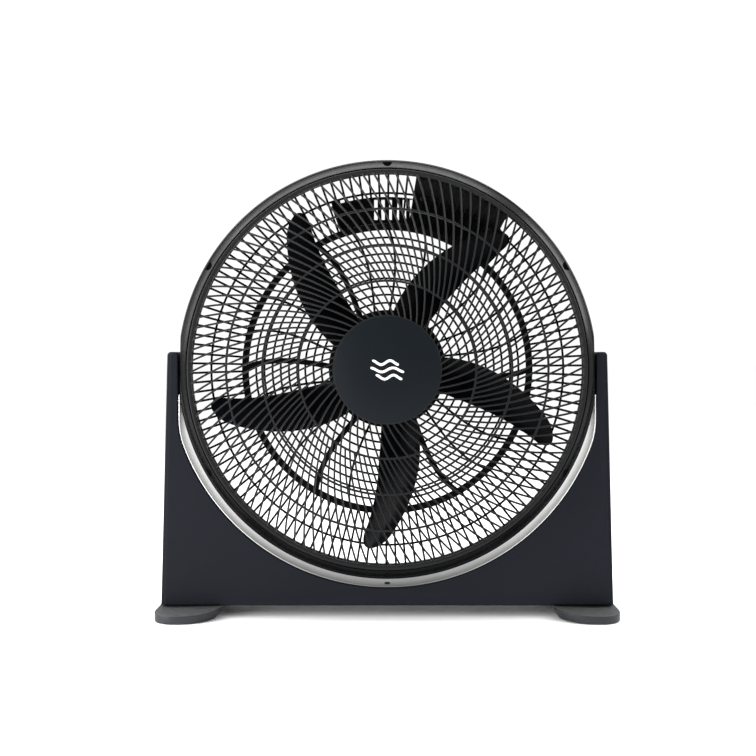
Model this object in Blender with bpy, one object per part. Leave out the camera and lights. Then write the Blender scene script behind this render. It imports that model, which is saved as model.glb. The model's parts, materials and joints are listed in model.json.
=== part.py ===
"""Box fan: a round fan head that tilts in a low, wide cradle stand.

Metres, +Z up.  The front of the fan faces -Y and +X is to the right seen from
the front.  The origin is on the floor, under the middle of the fan.  Every piece
of the head is drawn about the tilt axis, so its heights are measured from there.
Angles are counted from +X towards +Z, as seen from the front.
"""
import math

import bmesh
import bpy
from mathutils import Matrix, Vector

# ---------------------------------------------------------------- driving sizes
GAP = 0.0003                    # clearance between two pieces that seat on each other
AXIS_HEIGHT = 0.323             # tilt and fan axis above the floor

RING_RADIUS = 0.2737            # outside of the head's ring
RING_FLAT = 0.2702              # half width over the ring's two side flats
RING_SHOULDER = 0.0495          # front of the ring's outer shoulder, ahead of the axis
RING_LIP = 0.0560               # front of the lip that holds the grille
RING_BACK = 0.0120              # back edge of the ring, behind the axis
RING_INNER = 0.2585             # ledge inside the ring
RING_SKIRT = 0.2635             # inside of the ring behind the ledge
LEDGE_FRONT = 0.0500            # the ledge's front face, ahead of the axis
LEDGE_BACK = 0.0300             # the ledge's back face, ahead of the axis
LIP_RADIUS = 0.2612             # inside of the front lip
LIP_FOOT = 0.2680               # where the sloping lip meets the shoulder
CLIP_RADIUS = 0.0038            # half-round grille clips in the ring's face
CLIP_PITCH_RADIUS = 0.2672
CLIP_COUNT = 6
CLIP_BACK = 0.0437

GRILLE_EDGE = 0.2546            # clear radius inside the grille's rim
GRILLE_RIM = 0.2607             # outside of the grille's rim
GRILLE_DOME = 0.0210            # how far the grille bulges forward
GRILLE_THICK = 0.0030
GRILLE_RIB = 0.0030
GRILLE_RIBS = 24
GRILLE_SPIRAL = 0.488           # turn of a rib, in radians, for each e-fold of radius
GRILLE_PHASE = 74.6             # where one rib meets the rim, in degrees
GRILLE_RINGS = (0.1144, 0.1611, 0.2086)
GRILLE_RING_WIDTH = 0.0028
HUB_RING_INNER = 0.0580
HUB_RING_OUTER = 0.0715
CAP_RADIUS = 0.0685
CAP_CROWN = 0.0060

BASKET_THICK = 0.0030
BASKET_RIBS = 24                # curved spokes, carried on as straight side ribs
BASKET_PHASE = 55.4
BASKET_SPOKE = 0.0036
BASKET_RIM = 0.2630
BASKET_NECK = 0.2580            # where the basket's side wall leaves the rim
BASKET_BEND = (0.2380, 0.0120)  # radius and depth of the bend in the side wall
BASKET_FLOOR = (0.2010, 0.0450)  # radius and depth where the flat back begins
BASKET_RINGS = (0.1200, 0.1600)
BASKET_BAND = 0.0100            # width of the thick ring at the edge of the back
BASKET_RIM_THICK = 0.0045       # front to back, where the rim is clamped
BASKET_RING_HALF = 0.0020       # half width of the thin rings
SPOKE_BOW = 4.5                 # how far a spoke's ends lead its middle, in degrees
SPOKE_MIDDLE = 0.1290           # radius at which a spoke lags most
SPOKE_REACH = 0.0690            # from there to where the bow is complete
PLATE_OUTER = 0.0805            # motor plate in the middle of the basket
PLATE_INNER = 0.0535
PLATE_DEPTH = 0.0500

BLADE_COUNT = 5
BLADE_PHASE = 49.6
BLADE_TIP = 0.2405
BLADE_ROOT = 0.0585
BLADE_SPREAD_ROOT = 31.5        # angle that a blade covers at its root, in degrees
BLADE_SPREAD_TIP = 7.0
BLADE_SWEEP = 4.0               # how far the straight edge falls back at the tip
BLADE_SWEEP_MIDDLE = 0.1310     # radius at which that edge leads most
BLADE_SWEEP_REACH = 0.1030      # from there to the full sweep
BLADE_ROUNDED = 0.10            # outer share of the span over which the tip rounds off
BLADE_CAMBER = 0.10             # bulge of a blade's section, as a share of its depth
BLADE_DEPTH_ROOT = 0.0400
BLADE_DEPTH_TIP = 0.0110
BLADE_THICK = 0.0026
BLADE_MIDDLE = -0.0220
HUB_RADIUS = 0.0620
HUB_FRONT = -0.0460
HUB_BACK = 0.0040
HUB_WALL = 0.0030
HUB_BOSS = 0.0110               # sleeve round the shaft
HUB_SHOULDER = 0.0120           # how far the front edge is drawn in
NUT_RADIUS = 0.0160
NUT_LENGTH = 0.0160

SHAFT_RADIUS = 0.0040
RUNNING_GAP = 0.0004
MOTOR_RADIUS = 0.0520
MOTOR_WALL = 0.0030
MOTOR_FRONT = 0.0080
STATOR_FRONT = 0.0263
STATOR_BACK = 0.0440
MOTOR_BACK = 0.0680
MOTOR_FLANGE = 0.0640
FLANGE_THICK = 0.0025
STATOR_BORE = 0.0235
ROTOR_RADIUS = 0.0225
BEARING_RADIUS = 0.0085
BEARING_WIDTH = 0.0060
COVER_RADIUS = 0.0770
COVER_WALL = 0.0025
COVER_DEPTH = 0.0380

STAND_HALF_DEPTH = 0.0450
STAND_TOP_HALF = 0.2860
STAND_BOTTOM_HALF = 0.2960
STAND_INNER = 0.2733            # inside face of each arm
STAND_ABOVE_AXIS = 0.0230
STAND_CORNER = 0.0050
CRADLE_RADIUS = 0.2854
STAND_WALL = 0.0030
STAND_SPLIT = 0.0120            # where the front and rear shells meet
STAND_EDGE = 0.0022             # rounding along the shells' edges
SHELL_SCREWS = {                # across and height of the screws in the stand's back
    "shell_screw_left_low": (-0.150, 0.047), "shell_screw_right_low": (0.150, 0.047),
    "shell_screw_left_high": (-0.262, 0.110), "shell_screw_right_high": (0.262, 0.110)}
SHELL_SCREW_SUNK = 0.0004       # how far their heads lie below the back face
PANEL_BOTTOM = 0.0168
PANEL_STEP = 0.0040
TRIM_THICK = 0.0013
TRIM_HALF_DEPTH = 0.0440
TRIM_RISE = 0.0330              # the trim ends this far below the axis

FOOT_TOP = 0.0145
FOOT_BOTTOM = 0.0010
FOOT_INNER = 0.2150
FOOT_OUTER = 0.3000
FOOT_HALF_DEPTH = 0.0900
FOOT_CORNER = 0.0200            # plan radius of the outer corners
FOOT_TAPER = (0.0520, 0.0440)   # plan of the long inner corners, across and along
FOOT_EDGE = 0.0030
PAD_RADIUS = 0.0085
PAD_HEIGHT = 0.0030
PAD_SPREAD = 0.0680
SCREW_SPREAD = 0.0270
SCREW_HEAD = 0.0042
SCREW_HEAD_THICK = 0.0022
SCREW_SHANK = 0.0019
BOSS_RADIUS = 0.0050
FOOT_SCREW_SUNK = 0.0020        # how far the foot screws' heads lie in the foot
FOOT_SCREW_LENGTH = 0.0220
TRIM_SCREW_AHEAD = 0.0220
TRIM_SCREW_LENGTH = 0.0100

PIN_RADIUS = 0.0070
PIN_SEAT = 0.0065               # how deep the pin sits in the ring
BUSH_RADIUS = 0.0105
PIVOT_CAP_RADIUS = 0.0100
PIVOT_CAP_THICK = 0.0020
WASHER_RADIUS = 0.0160
PIVOT_CAP_SEAT = 0.0016         # depth of the cap's seat in the arm

BOX_START = 46.0                # control box, from and to these angles
BOX_END = 80.6
BOX_SHOULDER = 51.9             # up to this angle the box is drawn in to a smaller radius
BOX_STEP = 0.2400               # that smaller radius
BOX_STEP_PAST = 3.0             # how far the cut for it runs past the box's end, in degrees
BOX_INNER = 0.1990
BOX_OUTER = 0.2565
BOX_BACK = 0.0600
BOX_WALL = 0.0022
LID_THICK = 0.0022
KNOB_ANGLE = 63.0
KNOB_ORBIT = 0.2285
KNOB_RADIUS = 0.0185
KNOB_HEIGHT = 0.0170
KNOB_GAP = 0.0010
SPINDLE_RADIUS = 0.0030
SWITCH_RADIUS = 0.0130
SWITCH_DEPTH = 0.0160
CAPACITOR_RADIUS = 0.0085
CAPACITOR_ORBIT = 0.2260
CAPACITOR_LAG = 9.5             # from the knob's angle, in degrees
LID_SCREW_INSET = 2.2           # from the box's ends, in degrees
LID_SCREW_LENGTH = 0.0140
GLAND_RADIUS = 0.0062
GLAND_BORE = 0.0033
GLAND_TIP = 0.0050
GLAND_LENGTH = 0.0130
GLAND_ORBIT = 0.2120
GLAND_LEAD = 5.0                # from the box's first end, in degrees
KNOB_SOCKET = 0.0090            # depth of the hole for the spindle
POINTER_WIDTH = 0.0024
POINTER_FROM = 0.0060

HANDLE_END = 109.0              # grip plate across the back, from the box to this angle
HANDLE_LEG = 3.0                # angle that the handle's leg covers
HANDLE_INNER = 0.1960
HANDLE_OUTER = 0.2405
HANDLE_FRONT = 0.0600
HANDLE_BACK = 0.0700
SLOT_COUNT = 6                  # upright slots through the grip plate
SLOT_FIRST = -0.0160            # across from the middle, to the first slot's centre
SLOT_PITCH = 0.0100
SLOT_WIDTH = 0.0048
SLOT_LOW = 0.2080
SLOT_HIGH = 0.2370
LEG_INSET = 0.3                 # the leg stands in from the plate's end, in degrees

CRADLE_STEPS = 28               # facets along the cradle's arc
ROUND = 54                      # sides of the large round pieces
HUB_ROUND = 28
SMALL_ROUND = 16
SCREW_ROUND = 10


# ------------------------------------------------------------------- helpers
def clear_scene():
    for old in list(bpy.data.objects):
        bpy.data.objects.remove(old, do_unlink=True)


def make_material(name, colour, roughness, metallic=0.0):
    """A plain Principled material of the piece's own."""
    mat = bpy.data.materials.new(name)
    mat.use_nodes = True
    shader = mat.node_tree.nodes["Principled BSDF"]
    shader.inputs["Base Color"].default_value = (*colour, 1.0)
    shader.inputs["Roughness"].default_value = roughness
    shader.inputs["Metallic"].default_value = metallic
    mat.diffuse_color = (*colour, 1.0)
    return mat


FINISHES = {
    "charcoal": ((0.036, 0.039, 0.045), 0.42, 0.0),
    "graphite": ((0.055, 0.056, 0.058), 0.38, 0.0),
    "black": ((0.010, 0.010, 0.012), 0.35, 0.0),
    "blade": ((0.008, 0.009, 0.013), 0.22, 0.0),
    "silver": ((0.62, 0.62, 0.60), 0.24, 1.0),
    "rubber": ((0.02, 0.02, 0.02), 0.85, 0.0),
    "steel": ((0.42, 0.42, 0.43), 0.32, 1.0),
    "aluminium": ((0.55, 0.56, 0.57), 0.40, 1.0),
    "nylon": ((0.70, 0.69, 0.64), 0.50, 0.0),
}


def finish_object(name, bm, finish, parent):
    """Turn a closed bmesh into a named object with its own material."""
    bmesh.ops.recalc_face_normals(bm, faces=bm.faces)
    mesh = bpy.data.meshes.new(name)
    bm.to_mesh(mesh)
    bm.free()
    obj = bpy.data.objects.new(name, mesh)
    bpy.context.scene.collection.objects.link(obj)
    obj.parent = parent
    if finish:
        mesh.materials.append(make_material(name + "_finish", *FINISHES[finish]))
        mesh.shade_smooth()
        mesh.set_sharp_from_angle(angle=math.radians(35.0))
    else:
        obj.hide_render = True
        obj.display_type = "WIRE"
    return obj


def axis_empty(name, place, parent=None):
    """An empty that stands on a joint's axis."""
    empty = bpy.data.objects.new(name, None)
    empty.location = place
    empty.parent = parent
    bpy.context.scene.collection.objects.link(empty)
    return empty


def polar(radius, degrees, depth):
    """A point at this radius and angle, seen from the front, at this depth."""
    angle = math.radians(degrees)
    return Vector((radius * math.cos(angle), depth, radius * math.sin(angle)))


AIM = {
    "X": Matrix.Rotation(math.radians(90), 4, "Y"),
    "-X": Matrix.Rotation(math.radians(-90), 4, "Y"),
    "Y": Matrix.Rotation(math.radians(-90), 4, "X"),
    "-Y": Matrix.Rotation(math.radians(90), 4, "X"),
    "Z": Matrix.Identity(4),
    "-Z": Matrix.Rotation(math.radians(180), 4, "X"),
}


def turned(name, profile, finish=None, parent=None, at=(0, 0, 0), aim="Y", sides=SMALL_ROUND):
    """Turn a profile of (radius, height) points once round the aim axis.

    A profile that begins and ends on the axis is a solid; any other is closed
    into a loop and makes a ring.
    """
    bm = bmesh.new()
    verts = [bm.verts.new((r, 0.0, h)) for r, h in profile]
    chain = list(zip(verts, verts[1:]))
    if profile[0][0] > 0.0 or profile[-1][0] > 0.0:
        chain.append((verts[-1], verts[0]))
    edges = [bm.edges.new(pair) for pair in chain]
    bmesh.ops.spin(bm, geom=verts + edges, cent=(0, 0, 0), axis=(0, 0, 1),
                   angle=math.tau, steps=sides, use_merge=True)
    bmesh.ops.remove_doubles(bm, verts=bm.verts, dist=1e-6)
    bmesh.ops.transform(bm, matrix=Matrix.Translation(at) @ AIM[aim], verts=bm.verts)
    return finish_object(name, bm, finish, parent)


def rod(name, radius, low, high, **options):
    """A plain round bar from low to high along its axis."""
    return turned(name, [(0, low), (radius, low), (radius, high), (0, high)], **options)


def tube(name, inner, outer, low, high, **options):
    """A plain round tube from low to high along its axis."""
    return turned(name, [(inner, low), (outer, low), (outer, high), (inner, high)], **options)


def prism(name, outline, along, finish=None, parent=None):
    """Extrude a closed outline of 3-D points along a vector."""
    bm = bmesh.new()
    face = bm.faces.new([bm.verts.new(point) for point in outline])
    grown = bmesh.ops.extrude_face_region(bm, geom=[face])
    moved = [item for item in grown["geom"] if isinstance(item, bmesh.types.BMVert)]
    bmesh.ops.translate(bm, verts=moved, vec=along)
    return finish_object(name, bm, finish, parent)


def sector(name, profile, start, end, steps, finish=None, parent=None):
    """Sweep a closed (radius, depth) profile from one angle to another about the fan axis."""
    bm = bmesh.new()
    rows = []
    for step in range(steps + 1):
        degrees = start + (end - start) * step / steps
        rows.append([bm.verts.new(polar(r, degrees, depth)) for r, depth in profile])
    for row, following in zip(rows, rows[1:]):
        for i in range(len(profile)):
            j = (i + 1) % len(profile)
            bm.faces.new((row[i], row[j], following[j], following[i]))
    bm.faces.new(rows[0])
    bm.faces.new(reversed(rows[-1]))
    return finish_object(name, bm, finish, parent)


def boolean(obj, tool, operation="DIFFERENCE"):
    mod = obj.modifiers.new(operation.lower() + "_" + tool.name, "BOOLEAN")
    mod.object = tool
    mod.operation = operation
    mod.solver = "EXACT"


def round_edges(obj, width, segments=1, angle=30.0):
    mod = obj.modifiers.new("rounded_edges", "BEVEL")
    mod.width = width
    mod.segments = segments
    mod.limit_method = "ANGLE"
    mod.angle_limit = math.radians(angle)
    mod.use_clamp_overlap = True


def arc(centre, radius, start, end, steps):
    """Points along an arc, as (across, up) pairs, angles in degrees."""
    points = []
    for step in range(steps + 1):
        angle = math.radians(start + (end - start) * step / steps)
        points.append((centre[0] + radius * math.cos(angle), centre[1] + radius * math.sin(angle)))
    return points


def lattice(name, stations, ribs, rib_width, angle_at, finish, parent, closed=()):
    """A grille: ribs and rings as one polar net with open cells.

    stations lists (front radius, front depth, back radius, back depth, kind), from the
    outside in, where kind says what lies between this station and the next: "ring" for a
    closed row, "ribs" for ribs with open cells.  angle_at gives a rib's angle, in degrees,
    from its number and its radius.  closed lists the (row, rib) cells that are filled in,
    each named by the rib that it follows.
    """
    bm = bmesh.new()
    columns = 2 * ribs
    cache = {}

    def corner(row, column, back):
        key = (row, column % columns, back)
        if key not in cache:
            front_r, front_y, back_r, back_y, _ = stations[row]
            rib, side = divmod(column % columns, 2)
            half = math.degrees(0.5 * rib_width / front_r)
            degrees = angle_at(rib, front_r) + (half if side else -half)
            radius, depth = (back_r, back_y) if back else (front_r, front_y)
            cache[key] = bm.verts.new(polar(radius, degrees, depth))
        return cache[key]

    def solid(row, column):
        if row < 0 or row >= len(stations) - 1:
            return False
        rib, side = divmod(column % columns, 2)
        return stations[row][4] == "ring" or side == 0 or (row, rib) in closed

    for row in range(len(stations) - 1):
        for column in range(columns):
            if not solid(row, column):
                continue
            cell = ((row, column), (row, column + 1), (row + 1, column + 1), (row + 1, column))
            bm.faces.new([corner(r, c, False) for r, c in cell])
            bm.faces.new([corner(r, c, True) for r, c in reversed(cell)])
            outside = ((row - 1, column), (row, column + 1), (row + 1, column), (row, column - 1))
            for i, neighbour in enumerate(outside):
                if not solid(*neighbour):
                    a, b = cell[i], cell[(i + 1) % 4]
                    bm.faces.new((corner(*b, False), corner(*a, False),
                                  corner(*a, True), corner(*b, True)))
    return finish_object(name, bm, finish, parent)


def offset_profile(points, distance):
    """Move a (radius, depth) polyline outwards and back by one distance, with mitred bends."""
    normals = []
    for a, b in zip(points, points[1:]):
        run = Vector((b[0] - a[0], b[1] - a[1])).normalized()
        normals.append(Vector((run.y, -run.x)))
    moved = []
    for i, point in enumerate(points):
        before = normals[max(i - 1, 0)]
        after = normals[min(i, len(normals) - 1)]
        mitre = (before + after) / (1.0 + before.dot(after))
        moved.append((point[0] + mitre.x * distance, point[1] + mitre.y * distance))
    return moved


def between(points, radius=None, depth=None):
    """The point of a polyline at a given radius or a given depth."""
    for (r0, y0), (r1, y1) in zip(points, points[1:]):
        if radius is not None and min(r0, r1) <= radius <= max(r0, r1):
            share = (radius - r0) / (r1 - r0)
            return (radius, y0 + share * (y1 - y0))
        if depth is not None and min(y0, y1) <= depth <= max(y0, y1):
            share = (depth - y0) / (y1 - y0)
            return (r0 + share * (r1 - r0), depth)
    raise ValueError("the polyline doesn't reach that far")


# --------------------------------------------------------------------- stand
def cradle_path(inset, top):
    """Inside edge of the stand as (x, z), left to right, moved in by inset from the walls."""
    inner = STAND_INNER - inset
    radius = CRADLE_RADIUS - inset
    reach = math.degrees(math.acos(inner / radius))
    curve = arc((0.0, AXIS_HEIGHT), radius, 180.0 + reach, 360.0 - reach, CRADLE_STEPS)
    return [(-inner, top)] + curve + [(inner, top)]


def stand_outline(inset):
    """Outline of the stand seen from the front, moved in by inset, as (x, z) points."""
    top = AXIS_HEIGHT + STAND_ABOVE_AXIS - inset
    low = FOOT_TOP + GAP + inset
    floor = PANEL_BOTTOM + inset
    corner = STAND_CORNER - inset
    if corner > 0.0:
        shoulder = arc((STAND_TOP_HALF - inset - corner, top - corner), corner, 0.0, 90.0, 3)
        inner_corner = arc((STAND_INNER + inset + corner, top - corner), corner, 90.0, 180.0, 3)
    else:
        shoulder = [(STAND_TOP_HALF - inset, top)]
        inner_corner = [(STAND_INNER + inset, top)]
    step_in = FOOT_INNER + PANEL_STEP
    right = [(step_in - inset, floor), (step_in + PANEL_STEP - inset, low),
             (STAND_BOTTOM_HALF - inset, low)]
    right += shoulder + inner_corner
    cradle = cradle_path(-inset, top)[1:-1]
    left = [(-x, z) for x, z in reversed(right)]
    return right + list(reversed(cradle)) + left


def stand_shell(name, front, back, pocket_front, pocket_back):
    """One half of the hollow stand: an outline with a pocket cut from its open side."""
    shell = prism(name, [(x, front, z) for x, z in stand_outline(0.0)],
                  (0, back - front, 0), "charcoal")
    round_edges(shell, STAND_EDGE)
    pocket = prism(name + "_pocket", [(x, pocket_front, z) for x, z in stand_outline(STAND_WALL)],
                   (0, pocket_back - pocket_front, 0))
    boolean(shell, pocket)
    return shell


def foot_outline(sign):
    """Plan of a foot as (x, y) points: round outer corners and long elliptical inner ones."""
    inner, outer, depth, corner = FOOT_INNER, FOOT_OUTER, FOOT_HALF_DEPTH, FOOT_CORNER
    across, along = FOOT_TAPER
    points = arc((outer - corner, depth - corner), corner, 0.0, 90.0, 4)
    for end in (1.0, -1.0):
        bend = [(inner + across - across * math.sin(t), end * (depth - along + along * math.cos(t)))
                for t in (math.radians(90.0 * i / 6) for i in range(7))]
        points += bend if end > 0 else bend[::-1]
    points += arc((outer - corner, corner - depth), corner, 270.0, 360.0, 4)
    return [(sign * x, y) for x, y in points]


def screw(name, at, aim, length, parent=None):
    """A pan-head screw: its head's face is at the given point and its shank runs along aim."""
    profile = [(0, 0), (SCREW_HEAD, 0), (SCREW_HEAD, SCREW_HEAD_THICK),
               (SCREW_SHANK, SCREW_HEAD_THICK), (SCREW_SHANK, length), (0, length)]
    return turned(name, profile, "steel", parent, at, aim, SCREW_ROUND)


def screw_bore(name, at, aim, length, parent=None):
    """The counterbored hole that such a screw sits in, with clearance all round."""
    head = SCREW_HEAD + GAP
    shank = SCREW_SHANK + GAP
    deep = SCREW_HEAD_THICK + GAP
    profile = [(0, -0.01), (head, -0.01), (head, deep), (shank, deep),
               (shank, length + GAP), (0, length + GAP)]
    return turned(name, profile, None, parent, at, aim, SMALL_ROUND)


def build_stand():
    back = STAND_HALF_DEPTH
    front_shell = stand_shell("stand_front_shell", -back, STAND_SPLIT,
                              -back + STAND_WALL, STAND_SPLIT + 0.01)
    rear_shell = stand_shell("stand_rear_shell", STAND_SPLIT + GAP, back,
                             STAND_SPLIT - 0.01, back - STAND_WALL)

    # screws from the back, each into a boss that stands on the front wall
    boss_back = back - STAND_WALL - GAP
    screw_face = back - SHELL_SCREW_SUNK
    screw_length = back - STAND_SPLIT + 0.004
    bore_end = screw_face - screw_length - GAP
    boss_bore = SCREW_SHANK + GAP
    for name, (x, z) in SHELL_SCREWS.items():
        boss = turned(name + "_boss",
                      [(0, STAND_WALL * 0.5 - back), (BOSS_RADIUS, STAND_WALL * 0.5 - back),
                       (BOSS_RADIUS, boss_back), (boss_bore, boss_back), (boss_bore, bore_end),
                       (0, bore_end)], at=(x, 0, z), sides=16)
        boolean(front_shell, boss, "UNION")
        bore = screw_bore(name + "_bore", (x, screw_face, z), "-Y", screw_length)
        boolean(rear_shell, bore)
        screw(name, (x, screw_face, z), "-Y", screw_length)

    for side, sign in (("left", -1.0), ("right", 1.0)):
        out = "X" if sign > 0 else "-X"
        foot = prism(side + "_foot", [(x, y, FOOT_BOTTOM) for x, y in foot_outline(sign)],
                     (0, 0, FOOT_TOP - FOOT_BOTTOM), "charcoal")
        round_edges(foot, FOOT_EDGE)
        middle = sign * 0.5 * (FOOT_INNER + FOOT_OUTER)
        for end, ahead, shell in (("front", -1.0, front_shell), ("rear", 1.0, rear_shell)):
            pad_at = (middle, ahead * PAD_SPREAD, 0.0)
            recess = rod(f"{side}_{end}_pad_recess", PAD_RADIUS + GAP, -0.01, PAD_HEIGHT + GAP,
                         at=pad_at, aim="Z")
            boolean(foot, recess)
            rod(f"foot_pad_{side}_{end}", PAD_RADIUS, 0.0, PAD_HEIGHT, finish="rubber",
                at=pad_at, aim="Z")
            screw_at = (middle, ahead * SCREW_SPREAD, FOOT_BOTTOM + FOOT_SCREW_SUNK)
            bore = screw_bore(f"{side}_{end}_foot_bore", screw_at, "Z", FOOT_SCREW_LENGTH)
            boolean(foot, bore)
            boolean(shell, bore)
            screw(f"foot_screw_{side}_{end}", screw_at, "Z", FOOT_SCREW_LENGTH)

        # pivot: a bush in the arm's inner wall, and a flush cap in its outer wall
        wall = STAND_TOP_HALF - STAND_WALL
        hole = rod(side + "_bush_hole", BUSH_RADIUS + GAP, STAND_INNER - 0.01,
                   STAND_INNER + STAND_WALL + 0.001, at=(0, 0, AXIS_HEIGHT), aim=out)
        boolean(front_shell, hole)
        tube("pivot_bush_" + side, PIN_RADIUS + RUNNING_GAP, BUSH_RADIUS, STAND_INNER + GAP,
             wall - GAP, finish="nylon", at=(0, 0, AXIS_HEIGHT), aim=out)
        cap_seat = STAND_TOP_HALF - PIVOT_CAP_SEAT
        seat = rod(side + "_cap_seat", PIVOT_CAP_RADIUS + GAP, cap_seat, STAND_TOP_HALF + 0.01,
                   at=(0, 0, AXIS_HEIGHT), aim=out)
        boolean(front_shell, seat)
        rod("pivot_cap_" + side, PIVOT_CAP_RADIUS, cap_seat + GAP, cap_seat + GAP + PIVOT_CAP_THICK,
            finish="charcoal", at=(0, 0, AXIS_HEIGHT), aim=out)

    # bright trim that lines the cradle
    trim_top = AXIS_HEIGHT - TRIM_RISE
    strip = cradle_path(GAP, trim_top) + list(reversed(cradle_path(GAP + TRIM_THICK, trim_top)))
    trim = prism("trough_trim", [(x, -TRIM_HALF_DEPTH, z) for x, z in strip],
                 (0, 2 * TRIM_HALF_DEPTH, 0), "silver")
    trim_face = AXIS_HEIGHT - CRADLE_RADIUS + GAP + TRIM_THICK
    head_high = 0.6 * SCREW_HEAD_THICK
    screw_at = (0.0, -TRIM_SCREW_AHEAD, trim_face + head_high)
    bore = turned("trim_screw_bore", [(0, -0.01), (SCREW_SHANK + GAP, -0.01),
                                      (SCREW_SHANK + GAP, TRIM_SCREW_LENGTH + 0.002),
                                      (0, TRIM_SCREW_LENGTH + 0.002)],
                  None, None, screw_at, "-Z", 16)
    boolean(trim, bore)
    boolean(front_shell, bore)
    head_low = head_high - GAP
    turned("trim_screw", [(0, 0), (SCREW_HEAD * 0.8, 0), (SCREW_HEAD, head_low),
                          (SCREW_SHANK, head_low), (SCREW_SHANK, TRIM_SCREW_LENGTH),
                          (0, TRIM_SCREW_LENGTH)],
           "black", None, screw_at, "-Z", 16)


# ---------------------------------------------------------------------- head
def grille_depth(radius):
    """Front face of the domed grille, as a distance along Y (negative is forward)."""
    share = min(radius / GRILLE_EDGE, 1.0)
    return -RING_LIP - 0.001 - GRILLE_DOME * (1.0 - share * share)


def grille_angle(rib, radius):
    turn = GRILLE_SPIRAL * math.log(radius / GRILLE_EDGE)
    return GRILLE_PHASE + 360.0 * rib / GRILLE_RIBS + math.degrees(turn)


def build_front_grille(head):
    edges = [(GRILLE_RIM, "ring"), (GRILLE_EDGE, "ribs")]
    outer = GRILLE_EDGE
    for ring in reversed(GRILLE_RINGS):
        edges += [(0.5 * (outer + ring), "ribs"), (ring + 0.5 * GRILLE_RING_WIDTH, "ring"),
                  (ring - 0.5 * GRILLE_RING_WIDTH, "ribs")]
        outer = ring
    edges += [(0.5 * (outer + HUB_RING_OUTER), "ribs"), (HUB_RING_OUTER, "ring"),
              (HUB_RING_INNER, "end")]
    stations = []
    for radius, kind in edges:
        front = grille_depth(max(radius, HUB_RING_OUTER))
        back = front + GRILLE_THICK
        if radius >= GRILLE_EDGE:
            back = -LEDGE_FRONT - GAP
        stations.append((radius, front, radius, back, kind))
    return lattice("front_grille", stations, GRILLE_RIBS, GRILLE_RIB, grille_angle,
                   "graphite", head)


def basket_line():
    """Inner face of the rear basket as (radius, depth), from the rim to the motor plate."""
    return [(BASKET_NECK, -LEDGE_BACK + GAP), BASKET_BEND, BASKET_FLOOR,
            (PLATE_OUTER, PLATE_DEPTH - BASKET_THICK)]


def square_to(points, radius):
    """Direction square to a (radius, depth) polyline at a radius, pointing out and back."""
    for a, b in zip(points, points[1:]):
        if b[0] < radius <= a[0]:
            run = Vector((b[0] - a[0], b[1] - a[1])).normalized()
            return Vector((run.y, -run.x))
    raise ValueError("the polyline doesn't reach that far")


def spoke_angle(rib, radius):
    """Side ribs run straight; on the flat back each spoke bows like a shallow bracket."""
    inner = min(radius, BASKET_FLOOR[0])
    bow = (inner - SPOKE_MIDDLE) / SPOKE_REACH
    return BASKET_PHASE + 360.0 * rib / BASKET_RIBS + SPOKE_BOW * bow * bow


def build_basket(head):
    inner = basket_line()
    outer = offset_profile(inner, BASKET_THICK)
    flange_back = -LEDGE_BACK + GAP + BASKET_RIM_THICK
    band = BASKET_FLOOR[0] - BASKET_BAND
    rows = [(BASKET_RIM, -LEDGE_BACK + GAP, BASKET_RIM, flange_back, "ring"),
            (BASKET_NECK, -LEDGE_BACK + GAP, between(outer, depth=flange_back)[0], flange_back, "ribs")]
    for radius, kind in ((BASKET_BEND[0] + BASKET_RING_HALF, "ring"),
                         (BASKET_BEND[0] - BASKET_RING_HALF, "ribs"),
                         (BASKET_FLOOR[0], "ring"), (band, "ribs")):
        y = between(inner, radius=radius)[1]
        back = square_to(inner, radius) * BASKET_THICK
        rows.append((radius, y, radius + back.x, y + back.y, kind))
    previous = band
    for ring in reversed(BASKET_RINGS):
        for radius, kind in ((0.5 * (previous + ring), "ribs"), (ring + BASKET_RING_HALF, "ring"),
                             (ring - BASKET_RING_HALF, "ribs")):
            y = between(inner, radius=radius)[1]
            rows.append((radius, y, radius, y + BASKET_THICK, kind))
        previous = ring
    plate_front = PLATE_DEPTH - BASKET_THICK
    rows += [(PLATE_OUTER, plate_front, PLATE_OUTER, PLATE_DEPTH, "ring"),
             (PLATE_INNER, plate_front, PLATE_INNER, PLATE_DEPTH, "end")]
    # the side wall is a plain panel where the control box stands on it
    pitch = 360.0 / BASKET_RIBS
    panel = [(row, rib) for row in (1, 3) for rib in range(BASKET_RIBS)
             if BOX_START < (spoke_angle(rib, BASKET_NECK) + 0.5 * pitch) % 360.0 < BOX_END - pitch * 0.5]
    return lattice("rear_basket", rows, BASKET_RIBS, BASKET_SPOKE, spoke_angle, "black", head, panel)


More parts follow.
